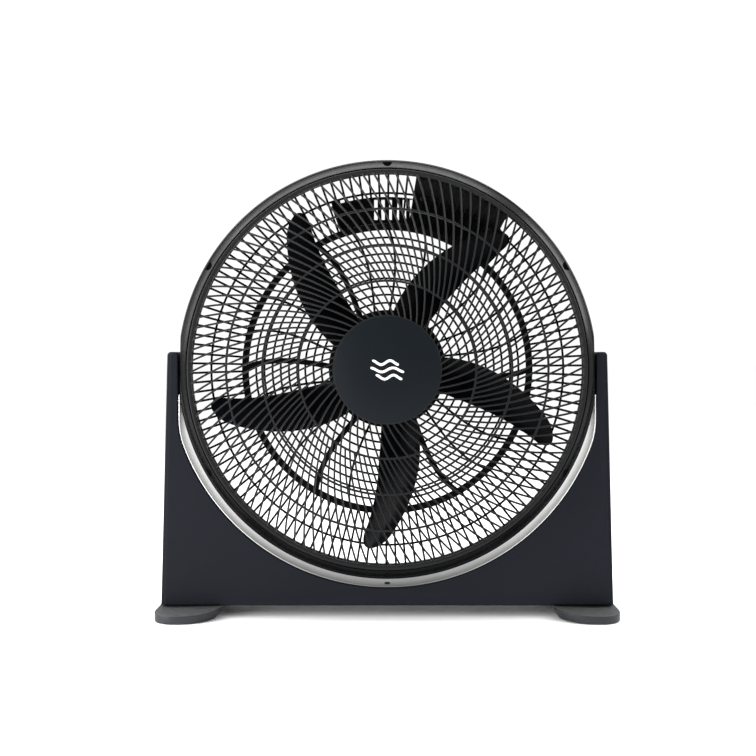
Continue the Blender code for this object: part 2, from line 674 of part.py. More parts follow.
def build_ring(head):
    profile = [(RING_RADIUS, RING_BACK), (RING_RADIUS, -RING_SHOULDER + 0.003),
               (RING_RADIUS - 0.0015, -RING_SHOULDER + 0.0008), (LIP_FOOT, -RING_SHOULDER),
               (LIP_RADIUS + 0.0006, -RING_LIP), (LIP_RADIUS, -RING_LIP),
               (LIP_RADIUS, -LEDGE_FRONT), (RING_INNER, -LEDGE_FRONT), (RING_INNER, -LEDGE_BACK),
               (RING_SKIRT, -LEDGE_BACK), (RING_SKIRT, RING_BACK)]
    ring = turned("ring_frame", profile, "graphite", head, sides=ROUND)
    for side, sign, out in (("left", -1.0, "-X"), ("right", 1.0, "X")):
        flat = rod(side + "_flat_cutter", 0.14, RING_FLAT, RING_FLAT + 0.02, parent=head, aim=out,
                   sides=SMALL_ROUND)
        boolean(ring, flat)
        pin_low = RING_FLAT - PIN_SEAT
        bore = rod(side + "_pin_bore", PIN_RADIUS + GAP, pin_low - GAP, RING_FLAT + 0.01,
                   parent=head, aim=out)
        boolean(ring, bore)
        rod("pivot_pin_" + side, PIN_RADIUS, pin_low, STAND_TOP_HALF - STAND_WALL - 3 * GAP,
            finish="steel", parent=head, aim=out)
        tube("friction_washer_" + side, PIN_RADIUS + RUNNING_GAP, WASHER_RADIUS, RING_FLAT + GAP,
             STAND_INNER - 2 * GAP, finish="nylon", parent=head, aim=out)
    for number in range(CLIP_COUNT):
        degrees = 30.0 + 360.0 * number / CLIP_COUNT
        at = polar(CLIP_PITCH_RADIUS, degrees, 0.0)
        name = f"grille_clip_{number + 1}"
        pocket = rod(name + "_pocket", CLIP_RADIUS + GAP, -0.07, -CLIP_BACK + GAP, parent=head,
                     at=at, sides=12)
        boolean(ring, pocket)
        rod(name, CLIP_RADIUS, -RING_SHOULDER - 0.0035, -CLIP_BACK, finish="black", parent=head,
            at=at, sides=12)
    return ring


def build_motor(head, impeller_axis):
    shaft_hole = SHAFT_RADIUS + RUNNING_GAP
    bearing_seat = BEARING_RADIUS + GAP
    front_wall = MOTOR_FRONT + BEARING_WIDTH + 0.001
    turned("motor_front_bell",
           [(shaft_hole, MOTOR_FRONT), (MOTOR_RADIUS * 0.55, MOTOR_FRONT),
            (MOTOR_RADIUS - 0.004, MOTOR_FRONT + 0.005), (MOTOR_RADIUS, MOTOR_FRONT + 0.010),
            (MOTOR_RADIUS, STATOR_FRONT - GAP), (MOTOR_RADIUS - MOTOR_WALL, STATOR_FRONT - GAP),
            (MOTOR_RADIUS - MOTOR_WALL, front_wall + 0.004), (bearing_seat + 0.004, front_wall + 0.002),
            (bearing_seat, front_wall + 0.002), (bearing_seat, front_wall - BEARING_WIDTH),
            (shaft_hole, front_wall - BEARING_WIDTH)],
           "aluminium", head, sides=SMALL_ROUND)
    tube("stator_core", STATOR_BORE, MOTOR_RADIUS, STATOR_FRONT, STATOR_BACK, finish="steel",
         parent=head, sides=SMALL_ROUND)
    flange = PLATE_DEPTH + GAP
    rear_wall = MOTOR_BACK - 0.008
    turned("motor_rear_bell",
           [(MOTOR_RADIUS - MOTOR_WALL, STATOR_BACK + GAP), (MOTOR_RADIUS, STATOR_BACK + GAP),
            (MOTOR_RADIUS, flange), (MOTOR_FLANGE, flange), (MOTOR_FLANGE, flange + FLANGE_THICK),
            (MOTOR_RADIUS, flange + FLANGE_THICK), (MOTOR_RADIUS - 0.005, MOTOR_BACK),
            (shaft_hole, MOTOR_BACK), (shaft_hole, rear_wall + BEARING_WIDTH),
            (bearing_seat, rear_wall + BEARING_WIDTH), (bearing_seat, rear_wall - 0.002),
            (MOTOR_RADIUS - MOTOR_WALL, rear_wall - 0.006)],
           "aluminium", head, sides=SMALL_ROUND)
    for name, low in (("bearing_front", front_wall - BEARING_WIDTH + GAP),
                      ("bearing_rear", rear_wall)):
        tube(name, SHAFT_RADIUS + GAP, BEARING_RADIUS, low, low + BEARING_WIDTH - GAP,
             finish="steel", parent=head, sides=16)
    cover_back = PLATE_DEPTH + COVER_DEPTH
    wall = COVER_WALL
    seat = PLATE_DEPTH + GAP
    turned("motor_cover",
           [(0, cover_back), (0.050, cover_back - 0.0015), (0.066, cover_back - 0.006),
            (0.074, cover_back - 0.014), (COVER_RADIUS, seat + 0.010), (COVER_RADIUS, seat),
            (COVER_RADIUS - wall, seat), (COVER_RADIUS - wall, seat + 0.010),
            (0.074 - wall, cover_back - 0.015), (0.066 - wall * 0.7, cover_back - 0.006 - wall * 0.8),
            (0.050, cover_back - 0.0015 - wall), (0, cover_back - wall)],
           "black", head, sides=HUB_ROUND)

    shaft_front = HUB_FRONT - NUT_LENGTH + 0.004
    shaft_back = MOTOR_BACK + 0.002
    rod("motor_shaft", SHAFT_RADIUS, shaft_front, shaft_back, finish="steel",
        parent=impeller_axis, sides=20)
    tube("rotor_core", SHAFT_RADIUS + GAP, ROTOR_RADIUS, STATOR_FRONT + 0.001, STATOR_BACK - 0.001,
         finish="aluminium", parent=impeller_axis)


def blade(name, phase, parent):
    """One blade: a thin twisted plate, lofted from the hub to its rounded tip.

    The leading edge lies further back than the trailing edge, by a depth that shrinks
    towards the tip, so the blade throws air forward.
    """
    spans, chords = 8, 4
    bm = bmesh.new()
    sheets = ([], [])
    for i in range(spans + 1):
        share = i / spans
        share = 1.0 - (1.0 - share) ** 1.35
        radius = BLADE_ROOT + (BLADE_TIP - BLADE_ROOT) * share
        spread = BLADE_SPREAD_ROOT + (BLADE_SPREAD_TIP - BLADE_SPREAD_ROOT) * share
        tip_share = max(0.0, 1.0 - (1.0 - share) / BLADE_ROUNDED)
        narrow = 0.30 + 0.70 * math.sqrt(max(0.0, 1.0 - tip_share * tip_share))
        low_edge = -BLADE_SWEEP * ((radius - BLADE_SWEEP_MIDDLE) / BLADE_SWEEP_REACH) ** 2
        middle = low_edge + 0.5 * spread
        depth = BLADE_DEPTH_ROOT + (BLADE_DEPTH_TIP - BLADE_DEPTH_ROOT) * share
        for sheet in sheets:
            sheet.append([])
        for j in range(chords + 1):
            across = 2.0 * j / chords - 1.0
            degrees = phase + middle + 0.5 * spread * narrow * across
            camber = BLADE_CAMBER * depth * (1.0 - across * across)
            y = BLADE_MIDDLE - 0.5 * depth * narrow * across - camber
            for sheet, shift in zip(sheets, (-0.5, 0.5)):
                sheet[i].append(bm.verts.new(polar(radius, degrees, y + shift * BLADE_THICK)))
    for sheet in sheets:
        for i in range(spans):
            for j in range(chords):
                bm.faces.new((sheet[i][j], sheet[i][j + 1], sheet[i + 1][j + 1], sheet[i + 1][j]))
    rim = [(i, 0) for i in range(spans + 1)] + [(spans, j) for j in range(1, chords + 1)]
    rim += [(i, chords) for i in range(spans - 1, -1, -1)] + [(0, j) for j in range(chords - 1, 0, -1)]
    for (i, j), (k, m) in zip(rim, rim[1:] + rim[:1]):
        bm.faces.new((sheets[0][i][j], sheets[0][k][m], sheets[1][k][m], sheets[1][i][j]))
    return finish_object(name, bm, None, parent)


def build_impeller(impeller_axis):
    hole = SHAFT_RADIUS + GAP
    inner = HUB_RADIUS - HUB_WALL
    floor = HUB_FRONT + HUB_WALL
    impeller = turned("impeller",
                      [(hole, HUB_FRONT), (HUB_RADIUS - HUB_SHOULDER, HUB_FRONT),
                       (HUB_RADIUS - 0.003, HUB_FRONT + 0.004), (HUB_RADIUS, HUB_FRONT + HUB_SHOULDER),
                       (HUB_RADIUS, HUB_BACK), (inner, HUB_BACK), (inner, HUB_FRONT + 0.014),
                       (inner - 0.008, floor), (HUB_BOSS, floor), (HUB_BOSS, HUB_BACK - 0.002),
                       (hole, HUB_BACK - 0.002)],
                      "blade", impeller_axis, sides=HUB_ROUND)
    for number in range(BLADE_COUNT):
        phase = BLADE_PHASE + 360.0 * number / BLADE_COUNT
        boolean(impeller, blade(f"blade_{number + 1}", phase, impeller_axis), "UNION")
    back = HUB_FRONT - GAP
    turned("blade_nut", [(0, back - NUT_LENGTH), (NUT_RADIUS - 0.006, back - NUT_LENGTH),
                         (NUT_RADIUS, back - NUT_LENGTH + 0.006), (NUT_RADIUS, back),
                         (hole, back), (hole, back - NUT_LENGTH + 0.0035),
                         (0, back - NUT_LENGTH + 0.0035)],
           "blade", impeller_axis, sides=20)


def build_cap(head):
    face = grille_depth(HUB_RING_OUTER) - GAP
    crown = face - 0.001
    plug = HUB_RING_INNER - 2 * GAP
    turned("grille_cap",
           [(0, crown - CAP_CROWN), (0.040, crown - CAP_CROWN * 0.82),
            (0.058, crown - CAP_CROWN * 0.45), (CAP_RADIUS, crown), (CAP_RADIUS, face),
            (plug, face), (plug, face + 0.004), (plug - 0.003, face + 0.004),
            (plug - 0.003, face), (0, face)],
           "charcoal", head, sides=HUB_ROUND)


def build_controls(head, knob_axis):
    skin = offset_profile(basket_line(), BASKET_THICK + 2 * GAP)
    inside = offset_profile(basket_line(), BASKET_THICK + 2 * GAP + BOX_WALL)
    front = RING_BACK + 2 * GAP

    def tray(line, low, outer, near, back):
        """Profile of the box: along the basket's wall, then out, back and round."""
        start = between(line, depth=near)
        bend = [point for point in line if low < point[0] < start[0]]
        return [start] + bend + [between(line, radius=low), (low, back), (outer, back), (outer, near)]

    box = sector("control_box", tray(skin, BOX_INNER, BOX_OUTER, front, BOX_BACK),
                 BOX_START, BOX_END, 8, "black", head)
    wall_angle = math.degrees(BOX_WALL / BOX_INNER)
    hollow = sector("control_box_hollow",
                    tray(inside, BOX_INNER + BOX_WALL, BOX_OUTER - BOX_WALL, front + BOX_WALL,
                         BOX_BACK + 0.01),
                    BOX_START + wall_angle, BOX_END - wall_angle, 8, None, head)

    def corner_cut(name, radius, end):
        """What is taken off the box's low end to draw it in to a smaller radius."""
        past = 0.01
        return sector(name, [(radius, front - past), (BOX_OUTER + past, front - past),
                             (BOX_OUTER + past, BOX_BACK + 2 * past), (radius, BOX_BACK + 2 * past)],
                      BOX_START - BOX_STEP_PAST, end, 4, None, head)

    boolean(hollow, corner_cut("control_box_inner_cut", BOX_STEP - BOX_WALL, BOX_SHOULDER + wall_angle))
    boolean(box, hollow)
    outer_cut = corner_cut("control_box_outer_cut", BOX_STEP, BOX_SHOULDER)
    boolean(box, outer_cut)
    lid_front = BOX_BACK + GAP
    lid_back = lid_front + LID_THICK
    lid = sector("control_box_lid",
                 [(BOX_INNER, lid_front), (BOX_OUTER, lid_front), (BOX_OUTER, lid_back),
                  (BOX_INNER, lid_back)], BOX_START, BOX_END, 8, "black", head)
    boolean(lid, outer_cut)
    knob_at = polar(KNOB_ORBIT, KNOB_ANGLE, 0.0)
    spindle_hole = rod("spindle_hole", SPINDLE_RADIUS + RUNNING_GAP, BOX_BACK - 0.005,
                       lid_back + 0.005, parent=head, at=knob_at, sides=16)
    boolean(lid, spindle_hole)
    switch_back = BOX_BACK
    tube("rotary_switch", SPINDLE_RADIUS + RUNNING_GAP, SWITCH_RADIUS, switch_back - SWITCH_DEPTH,
         switch_back, finish="nylon", parent=head, at=knob_at, sides=20)
    capacitor_front = between(inside, radius=CAPACITOR_ORBIT - CAPACITOR_RADIUS)[1] + 2 * GAP
    rod("capacitor", CAPACITOR_RADIUS, capacitor_front, BOX_BACK, finish="aluminium", parent=head,
        at=polar(CAPACITOR_ORBIT, KNOB_ANGLE - CAPACITOR_LAG, 0.0), sides=16)

    # screws through the lid into the box's ends, and the cord's exit
    for number, degrees in ((1, BOX_SHOULDER + LID_SCREW_INSET), (2, BOX_END - LID_SCREW_INSET)):
        at = polar(BOX_OUTER - BOX_WALL - 0.9 * BOSS_RADIUS, degrees, 0.0)
        name = f"lid_screw_{number}"
        post = rod(name + "_post", BOSS_RADIUS, front + 0.5 * BOX_WALL, BOX_BACK, parent=head, at=at,
                   sides=12)
        boolean(box, post, "UNION")
        face = lid_back + SCREW_HEAD_THICK + GAP
        drill = rod(name + "_drill", SCREW_SHANK + GAP, BOX_BACK + 0.002 - LID_SCREW_LENGTH, face,
                    parent=head, at=at, sides=12)
        boolean(box, drill)
        boolean(lid, drill)
        screw(name, at + Vector((0, face, 0)), "-Y", LID_SCREW_LENGTH, head)
    gland_at = polar(GLAND_ORBIT, BOX_START + GLAND_LEAD, 0.0)
    gland_low = lid_back - 0.0015
    gland_seat = rod("gland_seat", GLAND_RADIUS + GAP, gland_low - GAP, lid_back + 0.01, parent=head,
                     at=gland_at, sides=20)
    boolean(lid, gland_seat)
    turned("cord_gland", [(0, gland_low), (GLAND_RADIUS, gland_low), (GLAND_RADIUS, lid_back + 0.004),
                          (GLAND_TIP, lid_back + GLAND_LENGTH), (GLAND_BORE, lid_back + GLAND_LENGTH),
                          (GLAND_BORE, gland_low + 0.001), (0, gland_low + 0.001)],
           "rubber", head, gland_at, "Y", 20)

    low = KNOB_GAP
    knob = turned("speed_knob",
                  [(0, low + KNOB_HEIGHT), (KNOB_RADIUS - 0.003, low + KNOB_HEIGHT),
                   (KNOB_RADIUS - 0.0015, low + KNOB_HEIGHT - 0.0015), (KNOB_RADIUS, low + 0.003),
                   (KNOB_RADIUS, low), (SPINDLE_RADIUS + GAP, low),
                   (SPINDLE_RADIUS + GAP, low + KNOB_SOCKET), (0, low + KNOB_SOCKET)],
                  "graphite", knob_axis)
    half = 0.5 * POINTER_WIDTH
    sunk = low + KNOB_HEIGHT - half
    pointer = prism("knob_pointer_cut", [(-half, sunk, POINTER_FROM), (half, sunk, POINTER_FROM),
                                         (half, sunk, KNOB_RADIUS + half),
                                         (-half, sunk, KNOB_RADIUS + half)],
                    (0, 0.01, 0), None, knob_axis)
    boolean(knob, pointer)
    reach = lid_back - (BOX_BACK - SWITCH_DEPTH + 0.002)
    rod("switch_spindle", SPINDLE_RADIUS, -reach, low + KNOB_SOCKET - GAP, finish="steel",
        parent=knob_axis, sides=16)


def build_handle(head):
    """A slotted grip plate from the control box to a leg that stands on the basket's rings."""
    skin = offset_profile(basket_line(), BASKET_THICK + 2 * GAP)
    low, high = HANDLE_INNER + 0.002, HANDLE_OUTER - 0.001
    foot = [between(skin, radius=high)]
    foot += [point for point in skin if low < point[0] < high]
    foot += [between(skin, radius=low)]
    leg = foot + [(low, HANDLE_BACK - 0.001), (high, HANDLE_BACK - 0.001)]
    plate = [(HANDLE_INNER, HANDLE_FRONT), (HANDLE_INNER, HANDLE_BACK), (HANDLE_OUTER, HANDLE_BACK),
             (HANDLE_OUTER, HANDLE_FRONT)]
    start = BOX_END + math.degrees(GAP / HANDLE_INNER)
    grip = sector("carry_handle", plate, start, HANDLE_END, 8, "black", head)
    leg_end = HANDLE_END - LEG_INSET
    boolean(grip, sector("handle_leg", leg, leg_end - HANDLE_LEG, leg_end, 1, None, head), "UNION")
    for number in range(SLOT_COUNT):
        x = SLOT_FIRST + SLOT_PITCH * number
        low_x, high_x = x - 0.5 * SLOT_WIDTH, x + 0.5 * SLOT_WIDTH
        corners = [(low_x, SLOT_LOW), (high_x, SLOT_LOW), (high_x, SLOT_HIGH), (low_x, SLOT_HIGH)]
        slot = prism(f"handle_slot_{number + 1}", [(px, HANDLE_FRONT - 0.005, pz) for px, pz in corners],
                     (0, HANDLE_BACK - HANDLE_FRONT + 0.010, 0), None, head)
        boolean(grip, slot)


def main():
    clear_scene()
    build_stand()
    head = axis_empty("head_tilt_axis", (0, 0, AXIS_HEIGHT))
    impeller_axis = axis_empty("impeller_axis", (0, 0, 0), head)
    lid_back = BOX_BACK + GAP + LID_THICK
    knob_axis = axis_empty("knob_axis", polar(KNOB_ORBIT, KNOB_ANGLE, lid_back), head)
    build_ring(head)
    build_front_grille(head)
    build_cap(head)
    build_basket(head)
    build_motor(head, impeller_axis)
    build_impeller(impeller_axis)
    build_controls(head, knob_axis)
    build_handle(head)
    bpy.context.view_layer.update()


main()
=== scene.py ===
"""Box fan: the finished surfaces, materials, floor, light and camera.

The fan stands on the floor at the origin, +Z up, and its front faces -Y.  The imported
model gives the places, the bodies and the joints; every surface here is worked out from
them and from the sizes below.  Radii and angles on the head are measured about the fan's
axis, angles from +X towards +Z as seen from the front.
"""

import json
import math

import bmesh
import bpy
import numpy as np
from bpy.props import FloatProperty, FloatVectorProperty, IntProperty, PointerProperty
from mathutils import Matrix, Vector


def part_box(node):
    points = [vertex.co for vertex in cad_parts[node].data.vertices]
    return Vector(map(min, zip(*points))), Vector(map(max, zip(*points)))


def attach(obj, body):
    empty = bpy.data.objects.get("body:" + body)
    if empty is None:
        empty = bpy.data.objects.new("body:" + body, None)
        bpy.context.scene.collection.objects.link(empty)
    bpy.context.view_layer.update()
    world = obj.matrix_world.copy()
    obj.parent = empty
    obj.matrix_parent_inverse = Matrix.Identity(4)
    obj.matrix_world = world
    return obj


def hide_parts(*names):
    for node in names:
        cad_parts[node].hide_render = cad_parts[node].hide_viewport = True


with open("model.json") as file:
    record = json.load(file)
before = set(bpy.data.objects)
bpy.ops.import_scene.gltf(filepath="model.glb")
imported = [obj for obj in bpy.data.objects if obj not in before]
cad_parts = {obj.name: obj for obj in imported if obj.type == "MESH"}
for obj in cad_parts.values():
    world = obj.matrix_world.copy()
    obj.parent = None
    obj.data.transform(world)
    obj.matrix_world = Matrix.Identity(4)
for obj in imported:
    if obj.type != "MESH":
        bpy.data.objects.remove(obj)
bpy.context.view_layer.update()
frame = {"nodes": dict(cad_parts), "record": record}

bl_info = {
    "name": "Box fan",
    "version": (1, 0, 0),
    "blender": (4, 5, 0),
    "location": "View3D > Sidebar > Box fan",
    "description": "Builds the finished surfaces and materials of a tilting box fan",
    "category": "Object",
}

JOINTS = {joint["name"]: joint for joint in frame["record"]["behaviour"]["joints"]}
TILT = np.array(JOINTS["head_tilt"]["pos_m"], float)
KNOB = np.array(JOINTS["knob_turn"]["pos_m"], float)
FAN = np.array((0.0, 0.0, TILT[2]))       # the middle of the fan: its axis crosses the tilt axis here
X, Y, Z = np.eye(3)
TURN = 2.0 * math.pi
GAP = 0.0003                              # clearance between pieces that touch on the real fan


# ------------------------------------------------------------------ settings
def length(name, default, description):
    """A size in metres."""
    return FloatProperty(name=name, default=default, description=description, min=0.0,
                         unit="LENGTH", precision=4)


def degrees(name, default, description):
    """An angle, written here in degrees and kept in radians."""
    return FloatProperty(name=name, default=math.radians(default), description=description,
                         subtype="ANGLE")


def count(name, default, description):
    """A whole number of like parts."""
    return IntProperty(name=name, default=default, description=description, min=1)


def tint(name, default, description):
    """A linear colour."""
    return FloatVectorProperty(name=name, default=default, description=description,
                               subtype="COLOR", min=0.0, max=1.0)


class StandSizes(bpy.types.PropertyGroup):
    top_half: length("Top half width", 0.2880, "Half width over the arms at their top")
    arm_inner: length("Arm inside", 0.2733, "Inside face of each arm from the middle")
    above_axis: length("Arm above axis", 0.0230, "How far the arms rise above the tilt axis")
    corner: length("Arm corner", 0.0050, "Rounding of the arms' top corners")
    cradle: length("Cradle radius", 0.2854, "Radius of the round cradle")
    edge: length("Edge", 0.0022, "Rounding round the front face")
    border: length("Border", 0.0050, "Width of the sunk border along the outer sides")
    sunk: length("Sunk", 0.0014, "How far that border lies behind the front face")
    rear_edge: length("Rear edge", 0.0028, "Rounding round the back face")
    step: length("Foot step", 0.0040, "Run of the step where the panel rises off a foot")
    panel_bottom: length("Panel bottom", 0.0142, "Height of the panel's lower edge")
    trim_thick: length("Trim", 0.0013, "Thickness of the bright lining")
    trim_fall: length("Trim below axis", 0.0330, "How far below the axis the lining ends")


class FootSizes(bpy.types.PropertyGroup):
    corner: length("Outer corner", 0.0280, "Plan radius of the outer corners")
    taper_across: length("Taper across", 0.0520, "Plan of the long inner corners, across")
    taper_along: length("Taper along", 0.0440, "Plan of the long inner corners, front to back")
    slant: length("Slant", 0.0080, "How far the inner end leans out towards the floor")
    edge: length("Edge", 0.0026, "Rounding of the top edge")
    level: length("Level part", 0.0460, "Half depth of the level part that the stand sits on")
    slope: length("Slope", 0.0030, "Fall of the top from there to the front and rear edges")


class RingSizes(bpy.types.PropertyGroup):
    radius: length("Radius", 0.2737, "Outside of the ring")
    flat: length("Flat", 0.2702, "Half width over the two side flats")
    lip_foot: length("Lip foot", 0.2702, "Radius where the sloping lip meets the shoulder")
    lip_top: length("Lip top", 0.2612, "Radius where the lip ends at the grille")
    ledge: length("Ledge", 0.2588, "Clear radius inside the ring")
    skirt: length("Skirt", 0.2635, "Inside of the ring behind the ledge")
    shoulder_depth: length("Shoulder", 0.0472, "Front of the shoulder ahead of the axis")
    lip_depth: length("Lip depth", 0.0560, "Front of the lip ahead of the axis")
    notch: length("Notch", 0.0056, "Radius of the half-round clip notches")
    notch_at: length("Notch place", 0.2700, "Radius at which a notch's flat side lies")
    notches: count("Notches", 6, "Clip notches round the ring")


class GrilleSizes(bpy.types.PropertyGroup):
    rim: length("Rim", 0.2607, "Outside of the grille's rim")
    edge: length("Clear edge", 0.2546, "Inside of the grille's rim")
    dome: length("Dome", 0.0210, "How far the grille bulges forward")
    hub: length("Hub ring", 0.0700, "Outside of the hub ring")
    ribs: count("Ribs", 112, "Ribs in the outer zones; half of them reach the hub")
    phase: degrees("Phase", 74.6, "Where one rib meets the rim")
    spiral: FloatProperty(name="Spiral", default=0.488, description="Turn for each e-fold of radius")
    rib_width: length("Rib width", 0.0023, "Width of a rib seen from the front")
    rib_depth: length("Rib depth", 0.0046, "Depth of a rib, front to back")


class BasketSizes(bpy.types.PropertyGroup):
    side_ribs: count("Side ribs", 126, "Straight ribs round the side wall")
    spokes: count("Spokes", 24, "Bowed spokes across the flat back")
    phase: degrees("Phase", 55.4, "Angle of the first heavy spoke")
    bow: degrees("Bow", 4.5, "How far a spoke's ends lead its middle")
    rib_width: length("Rib width", 0.0029, "Width of the side ribs and thin rings")
    band_in: length("Band inside", 0.1922, "Inside radius of the thick ring")
    band_out: length("Band outside", 0.2016, "Outside radius of the thick ring")
    wall_ring: length("Wall ring", 0.2388, "Radius of the thin ring on the side wall")
    plate: length("Plate", 0.0795, "Radius of the motor plate")
    ring_pitch: length("Ring pitch", 0.01133, "Distance between the thin inner rings")
    rings: count("Rings", 10, "Thin rings across the flat back")


class BladeSizes(bpy.types.PropertyGroup):
    blades: count("Blades", 5, "Blades on the hub")
    phase: degrees("Phase", 49.0, "Angle of the first blade's straight edge")
    root: length("Root", 0.0585, "Radius where a blade starts inside the hub")
    tip: length("Tip", 0.2390, "Radius of a blade's tip")
    spread_root: degrees("Root spread", 41.0, "Angle that a blade covers at its root")
    spread_tip: degrees("Tip spread", 7.0, "Angle that a blade covers at its tip")
    waist: degrees("Waist", 15.0, "How much narrower than evenly tapered a blade is halfway, times four")
    sweep: degrees("Sweep", 4.0, "How far the straight edge falls back at the tip")
    depth_root: length("Root depth", 0.0400, "Front-to-back depth at the root")
    depth_tip: length("Tip depth", 0.0110, "Front-to-back depth at the tip")
    thick: length("Thickness", 0.0026, "Thickness in the middle of a blade")


class FanColours(bpy.types.PropertyGroup):
    stand: tint("Stand", (0.0056, 0.0067, 0.0100), "Charcoal of the stand")
    feet: tint("Feet", (0.0128, 0.0142, 0.0172), "Charcoal of the feet")
    ring: tint("Ring", (0.0024, 0.0025, 0.0028), "Graphite of the ring")
    grille: tint("Front grille", (0.0064, 0.0067, 0.0074), "Graphite of the front grille")
    cap: tint("Cap", (0.0028, 0.0048, 0.0068), "Blue-black of the centre cap")
    rear: tint("Rear", (0.0014, 0.0014, 0.0017), "Black of the basket and the rear parts")
    blade: tint("Blades", (0.0014, 0.0016, 0.0022), "Black of the impeller")
    silver: tint("Silver", (0.93, 0.93, 0.915), "Silver of the cradle lining")
    mark: tint("Mark", (0.85, 0.86, 0.86), "White of the printed mark and the figures")


class StageSettings(bpy.types.PropertyGroup):
    distance: length("Distance", 1.496, "Camera distance from the fan's middle")
    raised: length("Raised", 0.0200, "Height of the camera above the fan's axis")
    lens: FloatProperty(name="Lens", default=52.9, description="Focal length", unit="CAMERA", min=1.0)
    shift_x: FloatProperty(name="Shift X", default=-0.0123, description="Sideways lens shift")
    shift_y: FloatProperty(name="Shift Y", default=-0.0119, description="Upward lens shift")
    sky: FloatProperty(name="Surround", default=1.04, description="Strength of the white surround")


# each group of settings and the name under which the scene holds it
SETTINGS = {"fan_stand": StandSizes, "fan_feet": FootSizes, "fan_ring": RingSizes,
            "fan_grille": GrilleSizes, "fan_basket": BasketSizes, "fan_blades": BladeSizes,
            "fan_colours": FanColours, "fan_stage": StageSettings}


# ------------------------------------------------------------ shader helpers
class Value:
    """A shader socket that takes part in Python sums; each sum adds a Math node."""

    def __init__(self, finish, socket):
        self.finish = finish
        self.socket = socket

    def _math(self, operation, other, swapped=False):
        first, second = (other, self) if swapped else (self, other)
        return self.finish.node("ShaderNodeMath", {"operation": operation}, {0: first, 1: second})

    def __add__(self, other):
        return self._math("ADD", other)

    def __sub__(self, other):
        return self._math("SUBTRACT", other)

    def __rsub__(self, other):
        return self._math("SUBTRACT", other, True)

    def __mul__(self, other):
        return self._math("MULTIPLY", other)

    def __pow__(self, other):
        return self._math("POWER", other)

    __radd__ = __add__
    __rmul__ = __mul__

    def clamped(self):
        """The same value held between 0 and 1."""
        return self.finish.node("ShaderNodeClamp", {}, {0: self, 1: 0.0, 2: 1.0})


class Finish:
    """One material with a Principled shader, built up by short calls."""

    def __init__(self, name, **constants):
        self.material = bpy.data.materials.new(name)
        self.material.use_nodes = True
        self.tree = self.material.node_tree
        self.shader = self.tree.nodes["Principled BSDF"]
        for socket, value in constants.items():
            self.shader.inputs[socket.replace("_", " ")].default_value = value
        self.place = self.node("ShaderNodeTexCoord", {}, {}, "Object")

    def node(self, kind, settings, sockets, output=0):
        """A node of one kind: its settings are set first, then its sockets' values or links."""
        node = self.tree.nodes.new(kind)
        for key, value in settings.items():
            setattr(node, key, value)
        for key, value in sockets.items():
            if isinstance(value, Value):
                self.tree.links.new(value.socket, node.inputs[key])
            else:
                node.inputs[key].default_value = value
        return Value(self, node.outputs[output])

    def noise(self, scale, detail=2.0, rough=0.5, place=None):
        """Cloudy noise over the object, from 0 to 1."""
        return self.node("ShaderNodeTexNoise", {}, {"Vector": place or self.place, "Scale": scale,
                                                    "Detail": detail, "Roughness": rough})

    def stretched(self, scale):
        """Object coordinates multiplied axis by axis, for streaks."""
        return self.node("ShaderNodeVectorMath", {"operation": "MULTIPLY"}, {0: self.place, 1: scale})

    def between(self, low, high, factor):
        """A colour between two colours, mixed by a value."""
        low, high = [end if isinstance(end, Value) else (*end, 1.0) for end in (low, high)]
        return self.node("ShaderNodeMix", {"data_type": "RGBA"}, {0: factor, 6: low, 7: high}, 2)

    def upward(self):
        """How much a surface looks up, from 0 on its sides to 1 on top."""
        normal = self.node("ShaderNodeNewGeometry", {}, {}, "Normal")
        height = self.node("ShaderNodeSeparateXYZ", {}, {0: normal}, 2)
        return height.clamped()

    def edges(self):
        """1 on sharp outer edges and 0 on flats."""
        pointed = self.node("ShaderNodeNewGeometry", {}, {}, "Pointiness")
        return ((pointed - 0.52) * 9.0).clamped()

    def bump(self, height, strength, distance, base=None):
        """A relief of this height, laid over another relief if one is given."""
        sockets = {"Height": height, "Strength": strength, "Distance": distance}
        if base is not None:
            sockets["Normal"] = base
        return self.node("ShaderNodeBump", {}, sockets)

    def coated(self, colour, roughness, normal=None):
        """Feed the shader's colour, roughness held between 0 and 1, and relief; return the material."""
        fed = {"Base Color": colour, "Roughness": roughness.clamped(), "Normal": normal}
        for socket, value in fed.items():
            if value is not None:
                self.tree.links.new(value.socket, self.shader.inputs[socket])
        return self.material


def lighter(colour, factor):
    """A colour times a factor, held at white."""
    return tuple(min(1.0, part * factor) for part in colour)


def moulded(name, colour, roughness, sheen=0.25, grain=900.0, relief=0.18, mottle=0.16, dust=0.10,
            wear=0.25):
    """Moulded plastic: a fine spark-eroded grain, faint flow mottling, rubbed edges, light dust."""
    finish = Finish(name, Specular_IOR_Level=sheen)
    cloud = finish.noise(9.0, 3.0)
    flow = finish.noise(70.0, 2.0)
    speckle = finish.noise(grain, 2.0, 0.7)
    low, high = lighter(colour, 1.0 - mottle), lighter(colour, 1.0 + mottle)
    body = finish.between(low, high, cloud * 0.6 + speckle * 0.4)
    rubbed = finish.between(body, lighter(colour, 2.1), finish.edges() * flow * wear)
    lying = finish.upward() ** 3.0 * (finish.noise(240.0, 3.0, 0.6) ** 2.0) * dust
    dusty = finish.between(rubbed, (0.30, 0.29, 0.28), lying)
    rough = flow * 0.10 + speckle * 0.06 + lying * 1.5 + (roughness - 0.08)
    return finish.coated(dusty, rough, finish.bump(speckle, relief, 0.00012))


